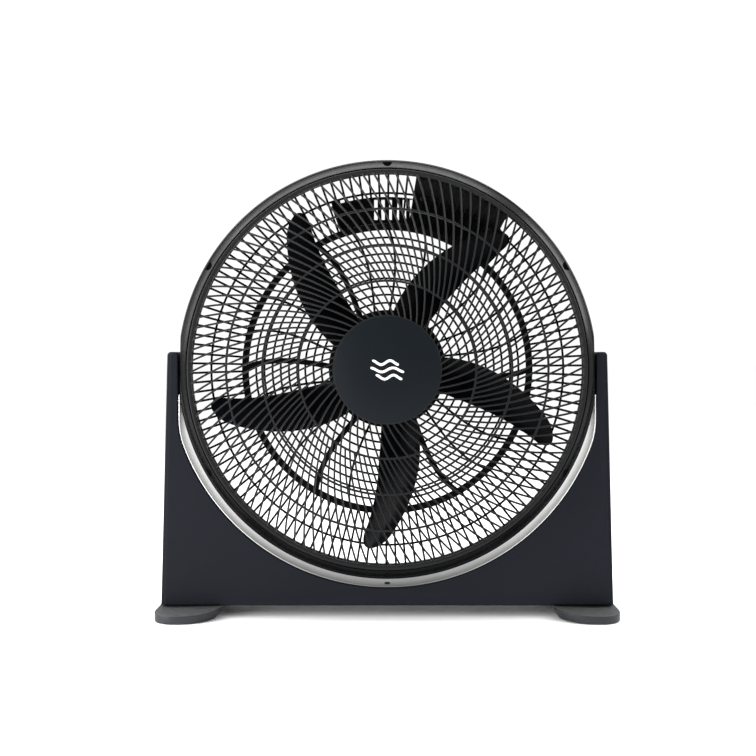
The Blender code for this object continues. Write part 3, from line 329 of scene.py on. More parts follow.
def glossy(name, colour, roughness):
    """Polished moulding: near mirror-smooth with long, shallow sink ripples and fine handling marks."""
    finish = Finish(name, Specular_IOR_Level=0.05)
    ripple = finish.noise(26.0, 1.0)
    marks = finish.noise(160.0, 4.0, 0.7)
    body = finish.between(lighter(colour, 0.8), lighter(colour, 1.5), marks)
    relief = finish.bump(marks, 0.05, 0.0002, finish.bump(ripple, 0.25, 0.0012))
    return finish.coated(body, marks ** 2.0 * 0.22 + (roughness - 0.04), relief)


def silver_lacquer(name, colour):
    """Silver lacquer over plastic: metal flake sparkle, very faint drawing lines along the arc, and painted
    shade towards the bottom of the arc.
    """
    finish = Finish(name, Metallic=0.92)
    flake = finish.noise(2600.0, 1.0, 0.5)
    haze = finish.noise(14.0, 3.0)
    lines = finish.noise(1.0, 2.0, 0.6, finish.stretched((18.0, 1900.0, 18.0)))
    height = finish.node("ShaderNodeSeparateXYZ", {}, {0: finish.place}, 2)
    # painted shade: the lacquer's colour darkens towards the bottom of the arc, standing in for the shade
    # there and the dark ring that the lining mirrors
    low = (1.0 - (height - 0.030) * 7.0).clamped() ** 1.5
    clean = finish.between(lighter(colour, 0.94), colour, haze * 0.5 + flake * 0.5)
    relief = finish.bump(lines, 0.06, 0.0001, finish.bump(flake, 0.04, 0.00005))
    # the clean lacquer is mixed here towards a dark grey by the painted-shade mask above
    return finish.coated(finish.between(clean, lighter(colour, 0.09), low),
                         haze * 0.10 + lines * 0.10 + 0.20, relief)


def soft_rubber(name, colour):
    """Matt rubber with a chalky bloom."""
    finish = Finish(name)
    bloom = finish.noise(320.0, 4.0, 0.7)
    return finish.coated(finish.between(colour, lighter(colour, 3.0), bloom ** 2.0),
                         bloom * 0.15 + 0.78, finish.bump(bloom, 0.3, 0.0002))


def plated_steel(name, colour, roughness):
    """Zinc-plated steel: turned lines round the part and soft clouding."""
    finish = Finish(name, Metallic=1.0)
    cloud = finish.noise(90.0, 3.0)
    lines = finish.noise(1.0, 2.0, 0.6, finish.stretched((300.0, 4200.0, 300.0)))
    return finish.coated(finish.between(lighter(colour, 0.75), colour, cloud),
                         cloud * 0.18 + (roughness - 0.08), finish.bump(lines, 0.10, 0.0001))


def cast_metal(name, colour):
    """Die-cast aluminium: a sandy skin, darker in its hollows."""
    finish = Finish(name, Metallic=0.9)
    sand = finish.noise(700.0, 3.0, 0.65)
    cloud = finish.noise(40.0, 3.0)
    return finish.coated(finish.between(lighter(colour, 0.6), colour, sand * 0.5 + cloud * 0.5),
                         sand * 0.2 + 0.38, finish.bump(sand, 0.35, 0.0002))


def laminated(name, colour):
    """A stack of steel sheets: fine dark lines one above the other along the motor's axis."""
    finish = Finish(name, Metallic=0.85)
    sheets = finish.node("ShaderNodeTexWave", {"bands_direction": "Y"},
                         {"Vector": finish.place, "Scale": 320.0, "Distortion": 0.3})
    return finish.coated(finish.between(lighter(colour, 0.35), colour, sheets),
                         sheets * 0.15 + 0.42, finish.bump(sheets, 0.4, 0.0003))


def printed(name, colour):
    """Pad-printed ink, slightly uneven."""
    finish = Finish(name)
    grain = finish.noise(1500.0, 2.0)
    return finish.coated(finish.between(lighter(colour, 0.86), colour, grain), grain * 0.15 + 0.40)


def studio_floor(name):
    """A pale, matt floor with the faintest unevenness."""
    finish = Finish(name)
    cloud = finish.noise(1.5, 2.0)
    pale = finish.between((0.960, 0.960, 0.960), (0.975, 0.975, 0.975), cloud)
    return finish.coated(pale, cloud * 0.1 + 0.6)


FINISHES = {}                             # filled by make_finishes, read by every piece


def make_finishes(colours):
    """Every finish of the fan, by name."""
    FINISHES.update(
        stand=moulded("charcoal_moulding", colours.stand, 0.46, 0.08, wear=0.35),
        feet=moulded("foot_moulding", colours.feet, 0.50, 0.30, dust=0.42, wear=0.45),
        ring=moulded("graphite_moulding", colours.ring, 0.28, 0.09, wear=0.25),
        grille=moulded("grille_moulding", colours.grille, 0.42, 0.15, dust=0.06, wear=0.15),
        cap=moulded("cap_moulding", colours.cap, 0.42, 0.10, grain=1500.0, relief=0.10, dust=0.05),
        rear=moulded("black_moulding", colours.rear, 0.40, 0.06, dust=0.04, wear=0.10),
        knob=moulded("knob_moulding", lighter(colours.rear, 2.4), 0.36, 0.25, dust=0.08, wear=0.6),
        blade=glossy("blade_moulding", colours.blade, 0.20),
        silver=silver_lacquer("silver_lacquer", colours.silver),
        rubber=soft_rubber("pad_rubber", (0.012, 0.012, 0.012)),
        steel=plated_steel("plated_steel", (0.50, 0.50, 0.49), 0.34),
        black_steel=plated_steel("blackened_steel", (0.05, 0.05, 0.05), 0.42),
        aluminium=cast_metal("cast_aluminium", (0.52, 0.53, 0.54)),
        laminations=laminated("steel_laminations", (0.34, 0.34, 0.35)),
        nylon=moulded("natural_nylon", (0.62, 0.60, 0.54), 0.48, 0.4, mottle=0.05, dust=0.0, wear=0.0),
        mark=printed("white_print", colours.mark),
    )


# -------------------------------------------------------------- mesh helpers
def polar(radius, angle, depth):
    """Points about the fan's axis: X is radius x cos, Y is the depth, Z is the axis + radius x sin."""
    radius, angle, depth = np.broadcast_arrays(radius, angle, depth)
    return np.stack((radius * np.cos(angle), depth, FAN[2] + radius * np.sin(angle)), -1)


def round_angles(number):
    """Angles that part a full turn evenly, from 0."""
    return np.linspace(0.0, TURN, number, endpoint=False)


def quarter_angles(number):
    """Angles of a quarter turn, both ends included."""
    return np.linspace(0.0, math.pi / 2, number)


def unit(vectors):
    """The same vectors, each divided by its length."""
    return vectors / np.linalg.norm(vectors, axis=-1, keepdims=True)


def filleted(corners, radius, steps=4, closed=True):
    """An outline with every corner rounded.

    Each corner is left at one fillet length before it and rejoined as far after it, along
    the quadratic curve (1-t)^2 A + 2t(1-t) P + t^2 B.
    """
    corners = np.asarray(corners, float)
    before, after = np.roll(corners, 1, 0) - corners, np.roll(corners, -1, 0) - corners
    run_in = np.linalg.norm(before, axis=1)
    run_out = np.linalg.norm(after, axis=1)
    reach = np.minimum(np.broadcast_to(radius, run_in.shape), 0.46 * np.minimum(run_in, run_out))
    if not closed:
        reach = reach.copy()
        reach[[0, -1]] = 0.0
    start = corners + before * (reach / np.maximum(run_in, 1e-9))[:, None]
    end = corners + after * (reach / np.maximum(run_out, 1e-9))[:, None]
    t = np.linspace(0.0, 1.0, steps + 1)[None, :, None]
    curve = (1 - t) ** 2 * start[:, None] + 2 * t * (1 - t) * corners[:, None] + t ** 2 * end[:, None]
    outline = curve.reshape(-1, corners.shape[1])
    keep = np.linalg.norm(np.diff(outline, axis=0, prepend=outline[:1] - 1.0), axis=1) > 1e-7
    return outline[keep]


def resampled(line, number):
    """The same polyline with this many points, evenly spaced along it."""
    line = np.asarray(line, float)
    walked = np.concatenate(([0.0], np.cumsum(np.linalg.norm(np.diff(line, axis=0), axis=1))))
    wanted = np.linspace(0.0, walked[-1], number)
    return np.stack([np.interp(wanted, walked, line[:, i]) for i in range(line.shape[1])], -1)


def moved_in(outline, distance):
    """A closed outline with each point moved to its left by a distance, square to its neighbours."""
    run = unit(np.roll(outline, -1, 0) - np.roll(outline, 1, 0))
    return outline + np.stack((-run[:, 1], run[:, 0]), -1) * distance


def turned(profile, sides=64, centre=FAN, along=Y):
    """A profile of (radius, height) turned round an axis: centre + r (u cos a + v sin a) + h along."""
    profile = np.asarray(profile, float)
    across = unit(np.cross(along, (0.31, 0.52, 0.79)))
    other = np.cross(along, across)
    angle = round_angles(sides)[:, None]
    round_way = across * np.cos(angle) + other * np.sin(angle)
    return centre + profile[:, None, :1] * round_way + profile[:, None, 1:] * along


def bars(centres, up, width, height, sides=6, scale=1.0):
    """Bars along many paths at once.

    centres is (bars, stations, 3).  At each station the section is an ellipse-cornered
    polygon: width across the path, height along the up direction.
    """
    run = unit(np.gradient(centres, axis=-2))
    side = unit(np.cross(run, np.broadcast_to(up, centres.shape)))
    lift = np.cross(side, run)
    angle = (np.arange(sides) + 0.5) * TURN / sides
    squared = np.stack((np.cos(angle), np.sin(angle)), -1)
    squared = np.sign(squared) * np.abs(squared) ** 0.7
    squared = squared / np.abs(squared).max(0)
    size = np.broadcast_to(np.asarray(scale, float), centres.shape[:-1])[..., None, None]
    across = squared[:, :1] * 0.5 * width * side[..., None, :]
    rise = squared[:, 1:] * 0.5 * height * lift[..., None, :]
    return centres[..., None, :] + size * (across + rise)


class Piece:
    """Collects grids of points and their faces, and makes one finished mesh object of them."""

    def __init__(self, name):
        self.name = name
        self.points = []
        self.faces = []
        self.total = 0

    def _add(self, grid):
        start = self.total
        self.points.append(grid.reshape(-1, 3))
        self.total += grid.size // 3
        return np.arange(start, self.total).reshape(grid.shape[:-1])

    def sheet(self, grid, wrap_rows=False, wrap_columns=True):
        """Quads over a grid of points; a wrapped direction is joined back to its start."""
        index = self._add(grid)
        if wrap_rows:
            index = np.concatenate((index, index[:1]), 0)
        if wrap_columns:
            index = np.concatenate((index, index[:, :1]), 1)
        quads = np.stack((index[:-1, :-1], index[1:, :-1], index[1:, 1:], index[:-1, 1:]), -1)
        self.faces += quads.reshape(-1, 4).tolist()
        return index

    def loft(self, grid):
        """A closed solid over a stack of loops, with a flat lid at each end."""
        index = self.sheet(grid)
        width = grid.shape[1]
        self.faces.append(index[0, :width].tolist())
        self.faces.append(index[-1, :width][::-1].tolist())

    def lofts(self, grids):
        """Many closed solids at once, as (solids, loops, points round a loop, 3)."""
        index = self._add(grids)
        wrapped = np.concatenate((index, index[:, :, :1]), 2)
        quads = np.stack((wrapped[:, :-1, :-1], wrapped[:, 1:, :-1], wrapped[:, 1:, 1:],
                          wrapped[:, :-1, 1:]), -1)
        self.faces += quads.reshape(-1, 4).tolist()
        self.faces += index[:, 0].tolist() + index[:, -1, ::-1].tolist()

    def turn(self, profile, **options):
        """A turned solid or ring; a profile that touches the axis is closed at its poles."""
        self.sheet(turned(profile, **options), wrap_rows=profile[0][0] > 0.0 or profile[-1][0] > 0.0)

    def mesh(self, finish, sharp=32.0):
        """A mesh object of all the grids, its seams joined and its edges sharp past an angle."""
        data = bpy.data.meshes.new(self.name)
        data.from_pydata(np.concatenate(self.points).tolist(), [], self.faces)
        work = bmesh.new()
        work.from_mesh(data)
        bmesh.ops.remove_doubles(work, verts=work.verts, dist=2e-6)
        bmesh.ops.dissolve_degenerate(work, edges=work.edges, dist=1e-7)
        bmesh.ops.recalc_face_normals(work, faces=work.faces)
        work.to_mesh(data)
        work.free()
        data.shade_smooth()
        data.set_sharp_from_angle(angle=math.radians(sharp))
        obj = bpy.data.objects.new(self.name, data)
        bpy.context.scene.collection.objects.link(obj)
        data.materials.append(FINISHES[finish])
        return obj

    def settle(self, finish, body, slot, *nodes, sharp=32.0):
        """Make the piece, ride it on its body and let it stand for these nodes."""
        obj = self.mesh(finish, sharp)
        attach(obj, body)
        if nodes:
            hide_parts(*nodes)
        return obj


def lathe(name, profile, fillet, steps, looks, node, closed=False, **options):
    """One turned piece, finished and settled; looks is its (finish, body, slot)."""
    piece = Piece(name)
    piece.turn(filleted(profile, fillet, steps, closed=closed), **options)
    return piece.settle(*looks, node)


def bolt(name, node, level, along, radius, height, looks=("steel", "head", "steel")):
    """A screw head in place of a packed screw, its top at a level along its axis."""
    flat = 1.0 - np.abs(along)
    piece = Piece(name)
    piece.sheet(screw_head(middle_of(node) * flat + np.abs(along) * level, along, radius, height))
    return piece.settle(*looks, node)


def repaint(finish, *nodes):
    """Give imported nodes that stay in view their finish."""
    for node in nodes:
        slots = frame["nodes"][node].data.materials
        slots.clear()
        slots.append(FINISHES[finish])


def corners_of(node):
    """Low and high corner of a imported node's box."""
    low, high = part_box(node)
    return np.array(low), np.array(high)


# --------------------------------------------------------------------- stand
def cradle_edge(size, inset, top, steps=200):
    """Inside edge of the stand, left to right: down an arm, round the cradle's arc, up the other."""
    inner = size.arm_inner - inset
    radius = size.cradle - inset
    reach = math.acos(inner / radius)
    angle = np.linspace(math.pi + reach, TURN - reach, steps)
    arc = np.stack((radius * np.cos(angle), FAN[2] + radius * np.sin(angle)), -1)
    rise = np.linspace(0.0, 1.0, 24, endpoint=False)[:, None]
    arm = np.array((-inner, top)) + rise * (arc[0] - (-inner, top))
    edge = resampled(np.concatenate((arm, arc, arm[::-1] * (-1.0, 1.0))), 4 * steps)
    # a running mean over 37 points rounds the corner where an arm meets the arc; past each
    # end the edge is continued by its own reflection, so that the ends stay where they are
    half = 18
    window = 2 * half + 1
    first = 2.0 * edge[:1] - edge[half:0:-1]
    last = 2.0 * edge[-1:] - edge[-2:-half - 2:-1]
    summed = np.cumsum(np.concatenate((np.zeros((1, 2)), first, edge, last)), axis=0)
    return resampled((summed[window:] - summed[:-window]) / window, steps)


def stand_outline(size, inset):
    """Outline of the stand moved in by inset, as (x, z): outer side, arm top, cradle and mirror image."""
    high_corner = corners_of("stand_front_shell")[1]
    foot_low, foot_high = corners_of("right_foot")
    top = FAN[2] + size.above_axis - inset
    low = foot_high[2] + GAP + inset
    corner = size.corner - inset
    heel = high_corner[0] - inset
    # both top corners of an arm are quarter circles
    quarter = quarter_angles(8)
    shoulder = np.stack((size.top_half - inset - corner + corner * np.cos(quarter),
                         top - corner + corner * np.sin(quarter)), -1)
    inside = np.stack((size.arm_inner + inset + corner - corner * np.sin(quarter),
                       top - corner + corner * np.cos(quarter)), -1)
    step = foot_low[0] + size.step - inset
    base = [(step, size.panel_bottom + inset), (step + size.step, low),
            (heel - 0.0090, low), (heel, low)]
    right = np.concatenate((base, shoulder, inside))
    cradle = cradle_edge(size, -inset, top)[1:-1]
    return np.concatenate((right, cradle[::-1], right[::-1] * (-1.0, 1.0)))


def shell_loops(size, section, border=None):
    """Loops of the stand's outline, one for each (inset, depth) of the section.

    Along the outer sides the loops follow the (inset, depth) pairs of border instead.
    """
    border = section if border is None else border
    wide, top = corners_of("stand_front_shell")[1][0], FAN[2] + size.above_axis
    fade = 0.0040
    loops = []
    for (inset, depth), (side_inset, side_depth) in zip(section, border):
        loop = stand_outline(size, inset)
        side = size.top_half + (wide - size.top_half) * (top - loop[:, 1]) / top - inset
        share = np.clip(1.0 - (side - np.abs(loop[:, 0])) / fade, 0.0, 1.0)
        loop[:, 0] -= np.sign(loop[:, 0]) * share * (side_inset - inset)
        loops.append(np.insert(loop, 1, depth + share * (side_depth - depth), axis=1))
    return np.stack(loops)


def rounded_rim(edge, face, sign, steps=7):
    """Section of a rounded rim, from just inside the flat face to the side wall.

    It is a quarter circle as (inset, depth): edge (1 - sin t) and face + sign edge (1 - cos t).
    """
    t = quarter_angles(steps)
    inset = edge * (1.0 - np.sin(t))
    depth = face + sign * edge * (1.0 - np.cos(t))
    flat = [(edge + 0.0005, face)]
    return np.concatenate((flat, np.stack((inset, depth), -1)))


class FAN_OT_stand(bpy.types.Operator):
    """Build both shells of the stand, with rounded rims and a fine seam between them"""
    bl_idname = "fan.stand"
    bl_label = "Stand shells"
    bl_options = {"REGISTER", "UNDO"}

    def execute(self, context):
        size = context.scene.fan_stand
        face = corners_of("stand_front_shell")[0][1]
        rear_low, rear_high = corners_of("stand_rear_shell")
        seam = 0.0005
        meeting = rear_low[1] - GAP
        joint = [(0.0, meeting - seam), (seam, meeting)]
        level = np.stack((size.edge + np.linspace(0.0012, 0.0006, 5), np.full(5, face)), -1)
        front = np.concatenate((level, rounded_rim(size.edge, face, 1.0), joint))
        wide, deep = size.border, face + size.sunk
        step = np.array([(wide + 0.0014, face), (wide + 0.0004, face), (wide, face + 0.0004),
                         (wide - 0.0001, deep - 0.0001), (wide - 0.0006, deep)])
        border = np.concatenate((step, rounded_rim(size.edge, deep, 1.0), joint))
        piece = Piece("stand_front")
        piece.loft(shell_loops(size, front, border))
        # a shallow dish round each pivot, on the outside of the arms
        dish = filleted([(0, 0.0), (0.0112, 0.0), (0.0116, 0.0008), (0.0106, 0.0008),
                         (0.0104, 0.0002), (0, 0.0002)], 0.0003, closed=False)
        dish_place = 0.2890
        for side in (-1.0, 1.0):
            piece.turn(dish, sides=64, centre=FAN + X * side * dish_place, along=X * side)
        piece.settle("stand", "stand", "stand_plastic", "stand_front_shell")

        rear = np.concatenate((rounded_rim(size.rear_edge, rear_high[1], -1.0),
                               [(0.0, rear_low[1] + seam), (seam, rear_low[1])]))
        piece = Piece("stand_rear")
        piece.loft(shell_loops(size, rear))
        collar = filleted([(0.0046, -0.0004), (0.0078, -0.0004), (0.0070, 0.0014), (0.0046, 0.0014)],
                          0.0005)
        for screw in shell_screws():
            centre = middle_of(screw) * (1, 0, 1) + Y * rear_high[1]
            piece.turn(collar, sides=48, centre=centre, along=Y)
        # three fine ribs lie across the back, under the cradle
        across, rib = np.linspace(-0.105, 0.105, 3), 0.0016
        for z in np.linspace(0.0215, 0.0310, 3):
            line = np.stack((across, np.full(3, rear_high[1]), np.full(3, z)), -1)
            piece.lofts(bars(line[None], Y, rib, rib))
        piece.settle("stand", "stand", "stand_plastic", "stand_rear_shell")
        return {"FINISHED"}


def shell_screws():
    """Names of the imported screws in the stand's back."""
    return [name for name in frame["nodes"] if name.startswith("shell_screw")]


def middle_of(node):
    """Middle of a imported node's box."""
    low, high = corners_of(node)
    return 0.5 * (low + high)


class FAN_OT_trim(bpy.types.Operator):
    """Line the cradle with the bright strip and its small screw"""
    bl_idname = "fan.trim"
    bl_label = "Cradle lining"
    bl_options = {"REGISTER", "UNDO"}

    def execute(self, context):
        size = context.scene.fan_stand
        low, high = corners_of("trough_trim")
        top = FAN[2] - size.trim_fall
        thick, lip, half = size.trim_thick, 0.0006, 0.5 * (high[1] - low[1]) - 0.0010
        # section of the strip: (distance in from the stand's edge, depth), a shallow channel
        section = filleted([(GAP, -half), (GAP + thick + lip * 0.3, -half),
                            (GAP + thick + lip * 0.3, -half + 0.0022), (GAP + thick, -half + 0.0034),
                            (GAP + thick, half - 0.0034), (GAP + thick + lip * 0.3, half - 0.0022),
                            (GAP + thick + lip * 0.3, half), (GAP, half)], 0.0005)
        loops = []
        for inset, depth in section:
            edge = cradle_edge(size, inset, top, 220)
            loops.append(np.insert(edge, 1, depth, axis=1))
        piece = Piece("cradle_lining")
        piece.loft(np.stack(loops, 1))
        piece.settle("silver", "stand", "silver_trim", "trough_trim")

        s_low, s_high = corners_of("trim_screw")
        bolt("lining_screw", "trim_screw", s_high[2], Z, 0.5 * (s_high[0] - s_low[0]), 0.0016,
             ("black_steel", "stand", "rear_plastic"))
        return {"FINISHED"}


def screw_head(top, along, radius, height, sides=64):
    """A pan head with a cross recess: near the axis the radius swells and shrinks four times a turn."""
    profile = filleted([(0.0, -0.55 * height), (0.30 * radius, -0.55 * height), (0.42 * radius, 0.0),
                        (0.80 * radius, -0.10 * height), (radius, -0.60 * height),
                        (radius, -1.0 * height), (0.0, -1.0 * height)], 0.12 * radius, 3, closed=False)
    grid = turned(profile, sides, top, along)
    cross = 1.0 - 0.45 * (0.5 - 0.5 * np.cos(4.0 * round_angles(sides)))
    near = np.clip((0.55 * radius - profile[:, 0]) / (0.2 * radius), 0.0, 1.0)
    near = near * (profile[:, 1] > -0.9 * height)
    factor = 1.0 - near[:, None] * (1.0 - cross[None])
    level = top + profile[:, None, 1:] * along
    return level + (grid - level) * factor[..., None]


def foot_plan(size, low, high, steps=26):
    """Plan of a right-hand foot: round outer corners, long elliptical inner corners."""
    depth, corner = high[1], size.corner
    t = quarter_angles(steps)
    outer = np.stack((high[0] - corner + corner * np.cos(t), depth - corner + corner * np.sin(t)), -1)
    inner = np.stack((low[0] + size.taper_across * (1.0 - np.sin(t)),
                      depth - size.taper_along * (1.0 - np.cos(t))), -1)
    back = np.concatenate((outer, inner))
    return np.concatenate((back, back[::-1] * (1.0, -1.0)))


class FAN_OT_feet(bpy.types.Operator):
    """Build the two feet, with their long rounded plan and leaning inner ends, and the rubber pads"""
    bl_idname = "fan.feet"
    bl_label = "Feet"
    bl_options = {"REGISTER", "UNDO"}

    def execute(self, context):
        size = context.scene.fan_feet
        low, high = corners_of("right_foot")
        plan = foot_plan(size, low, high)
        # the section runs from the floor side up the wall to the top, as (inset, height)
        edge, foot_edge = size.edge, 0.0009
        t = quarter_angles(7)
        top = np.stack((edge * (1.0 - np.cos(t)), high[2] - edge * (1.0 - np.sin(t))), -1)
        bottom = np.stack((foot_edge * (1.0 - np.sin(t)), low[2] + foot_edge * (1.0 - np.cos(t))), -1)
        section = np.concatenate(([(foot_edge + 0.001, low[2])], bottom, top, [(edge + 0.001, high[2])]))
        loops = []
        for inset, z in section:
            loop = moved_in(plan, inset)
            lean = np.clip((low[0] + size.taper_across - loop[:, 0]) / size.taper_across, 0.0, 1.0)
            fall = (high[2] - z) / (high[2] - low[2])
            loop[:, 0] += size.slant * fall * lean ** 1.5
            ahead = np.clip((np.abs(loop[:, 1]) - size.level) / (high[1] - size.level), 0.0, 1.0)
            level = z - size.slope * ahead * (1.0 - fall)
            loops.append(np.insert(loop, 2, level, axis=1))
        grid = np.stack(loops)
        for side, sign in (("left", -1.0), ("right", 1.0)):
            piece = Piece(side + "_foot_cover")
            piece.loft(grid * (sign, 1.0, 1.0))
            piece.settle("feet", "stand", "stand_plastic", side + "_foot")
            for end in ("front", "rear"):
                pad = f"foot_pad_{side}_{end}"
                pad_low, pad_high = corners_of(pad)
                radius = 0.5 * (pad_high[0] - pad_low[0])
                profile = [(0, 0.0), (0.62 * radius, 0.0), (0.66 * radius, 0.0004), (0.74 * radius, 0.0004),
                           (0.78 * radius, 0.0), (radius - 0.0003, 0.0), (radius, 0.0004),
                           (radius, pad_high[2]), (0, pad_high[2])]
                lathe(f"rubber_pad_{side}_{end}", profile, 0.0003, 3, ("rubber", "stand", "rubber"),
                      pad, sides=56, centre=middle_of(pad) * (1, 1, 0), along=Z)
                bolt(f"foot_bolt_{side}_{end}", f"foot_screw_{side}_{end}", low[2] - 0.0002, -Z,
                     0.0042, 0.0018, ("steel", "stand", "steel"))
        return {"FINISHED"}


# ---------------------------------------------------------------------- head
class FAN_OT_ring(bpy.types.Operator):
    """Build the ring: a turned section with two side flats and six half-round clip notches"""
    bl_idname = "fan.ring"
    bl_label = "Ring"
    bl_options = {"REGISTER", "UNDO"}

    def execute(self, context):
        size = context.scene.fan_ring
        back = corners_of("ring_frame")[1][1]
        face = np.linspace(0.0, 1.0, 26)[:, None]
        foot = np.array((size.lip_foot, -size.shoulder_depth))
        crest = np.array((size.lip_top + 0.0011, -size.lip_depth + 0.0004))
        slope = foot + (crest - foot) * face
        swell = 0.0002 * np.sin(math.pi * face[:, 0])
        slope = slope + np.stack((swell, -swell), -1)
        # the shoulder lies between a quarter of an ellipse and the straight line across it
        rounding = quarter_angles(20)
        curve = np.stack((size.lip_foot + (size.radius - size.lip_foot) * np.cos(rounding),
                          -size.shoulder_depth + 0.0028 * (1.0 - np.sin(rounding))), -1)
        chord = np.linspace(curve[0], curve[-1], len(curve))
        shoulder = 0.4 * curve + 0.6 * chord
        ledge_front, ledge_back, bevel = -0.0500, -0.0300, 0.0008
        inner = filleted([(size.lip_top + 0.0004, -size.lip_depth),
                          (size.lip_top, -size.lip_depth + 0.0007),
                          (size.lip_top, ledge_front), (size.ledge, ledge_front),
                          (size.ledge, ledge_back), (size.skirt, ledge_back), (size.skirt, back),
                          (size.radius - bevel, back), (size.radius, back - bevel),
                          (size.radius, ledge_back)], 0.0006, 3, closed=False)
        profile = np.concatenate((shoulder, slope, inner))

        notch_angle = math.pi / 6 + np.arange(size.notches) * TURN / size.notches
        reach = 1.25 * size.notch / size.notch_at
        near = (notch_angle[:, None] + np.linspace(-reach, reach, 29)).ravel()
        even = round_angles(360)
        apart = np.abs((even[:, None] - notch_angle + math.pi) % TURN - math.pi).min(1)
        angle = np.sort(np.concatenate((even[apart > reach * 1.02], near)) % TURN)

        radius = np.broadcast_to(profile[:, :1], (len(profile), len(angle))).copy()
        depth = np.broadcast_to(profile[:, 1:], radius.shape).copy()
        flat = size.flat / np.maximum(np.abs(np.cos(angle)), 1e-6)
        radius = np.minimum(radius, flat[None])
        # a notch pushes the face back inside a half disc whose flat side is outermost
        offset = np.abs((angle[:, None] - notch_angle + math.pi) % TURN - math.pi).min(1)
        across = offset[None] * size.notch_at
        fall = size.notch_at - radius
        inside = size.notch - np.hypot(across, np.maximum(fall, 0.0))
        cut = np.clip(inside / 0.0005, 0.0, 1.0) * np.clip((fall + 0.0004) / 0.0005, 0.0, 1.0)
        front = depth < -size.shoulder_depth + 0.0022
        floor = -size.shoulder_depth + 0.0036
        depth = np.where(front, depth + cut * (floor - depth), depth)
        piece = Piece("head_ring")
        piece.sheet(polar(radius, angle[None], depth), wrap_rows=True)
        piece.settle("ring", "head", "ring_plastic", "ring_frame", sharp=38.0)

        for number, place in enumerate(notch_angle):
            clip_radius = size.notch_at - 0.42 * size.notch
            centre = polar(clip_radius, place, -size.shoulder_depth + 0.0030)
            out = unit((centre - FAN) * (1, 0, 1))
            piece = Piece(f"clip_{number + 1}")
            # the clip's round head, its seat and the tongue that holds the grille
            head = filleted([(0, 0.0024), (0.0016, 0.0024), (0.0021, 0.0016), (0.0021, -0.0010),
                             (0, -0.0010)], 0.0005, 3, closed=False)
            piece.turn(head * (0.8, 1.0), sides=24, centre=centre + Y * 0.0012, along=-Y)
            # a half disc fills the notch's floor, its straight side outermost
            half = np.linspace(math.pi, TURN, 25)
            seat = polar(size.notch_at, place, -size.shoulder_depth + 0.0034)
            across = np.cross(out, Y)
            rim = np.cos(half)[:, None] * across + np.sin(half)[:, None] * out
            plate = [seat + rim * (size.notch - 0.0004) - Y * height for height in (0.0, 0.0006)]
            piece.loft(np.stack(plate))
            tongue = centre + out * np.linspace(-0.0010, 0.0016, 3)[:, None] + Y * 0.0010
            piece.lofts(bars(tongue[None], Y, 0.0040, 0.0014, 8))
            piece.settle("rear", "head", "rear_plastic", f"grille_clip_{number + 1}")
        return {"FINISHED"}


GRILLE_FRONT = -0.0570                    # depth at which the grille's dome meets its rim


def grille_face(size, radius):
    """Depth of the domed grille's front: rim - dome (1 - (radius / edge)^2)."""
    left = 1.0 - np.minimum(radius / size.edge, 1.0) ** 2
    return GRILLE_FRONT - size.dome * left


def oblong(inner, outer, front, back):
    """Corners of a plain ring's section, as (radius, depth); an inner radius of 0 makes it a rod's."""
    return [(inner, front), (outer, front), (outer, back), (inner, back)]


def ring_bar(piece, radius, depth, width, height, sides=180, round_off=0.0008):
    """A thin ring of rounded rectangular section, with this middle radius and front-to-back middle."""
    w, h = 0.5 * width, 0.5 * height
    corners = oblong(radius - w, radius + w, depth - h, depth + h)
    piece.turn(filleted(corners, round_off, 3), sides=sides)


class FAN_OT_front_grille(bpy.types.Operator):
    """Build the domed front grille: a rim, three rings, a hub ring and spiral ribs"""
    bl_idname = "fan.front_grille"
    bl_label = "Front grille"
    bl_options = {"REGISTER", "UNDO"}

    def execute(self, context):
        size = context.scene.fan_grille
        piece = Piece("front_guard")
        seat = -0.0503
        rim = filleted([(size.edge, seat), (size.rim, seat), (size.rim, GRILLE_FRONT + 0.0014),
                        (size.rim - 0.0016, GRILLE_FRONT), (size.edge + 0.0006, GRILLE_FRONT + 0.0008)],
                       0.0009, 4)
        piece.turn(rim, sides=256)
        half = 0.5 * size.rib_depth
        rings = (0.2082, 0.1609, 0.1142)
        for radius in rings:
            ring_bar(piece, radius, grille_face(size, radius) + half + 0.0003, 0.0028, 0.0040)
        hub_face = grille_face(size, size.hub)
        hub_bore, hub_thick = 0.0580, 0.0040
        hub = oblong(hub_bore, size.hub, hub_face, hub_face + hub_thick)
        piece.turn(filleted(hub, 0.0008, 3), sides=160)

        def ribs(numbers, outer, inner, stations):
            """Ribs on log spirals: angle = phase + number's share of a turn + spiral ln(radius / edge)."""
            radius = np.linspace(outer, inner, stations)[None]
            turn = size.spiral * np.log(radius / size.edge)
            angle = size.phase + numbers[:, None] * TURN / size.ribs + turn
            centres = polar(radius, angle, grille_face(size, radius) + half)
            slope = 2.0 * size.dome * radius / size.edge ** 2
            up = polar(slope, angle, -1.0) - FAN
            piece.lofts(bars(centres, up, size.rib_width, size.rib_depth))

        every = np.arange(size.ribs)
        ribs(every, size.edge + 0.0014, rings[2] - 0.0004, 9)
        ribs(every[::2], rings[2] - 0.0004, size.hub - 0.0014, 5)
        piece.settle("grille", "head", "front_grille_plastic", "front_grille")
        return {"FINISHED"}


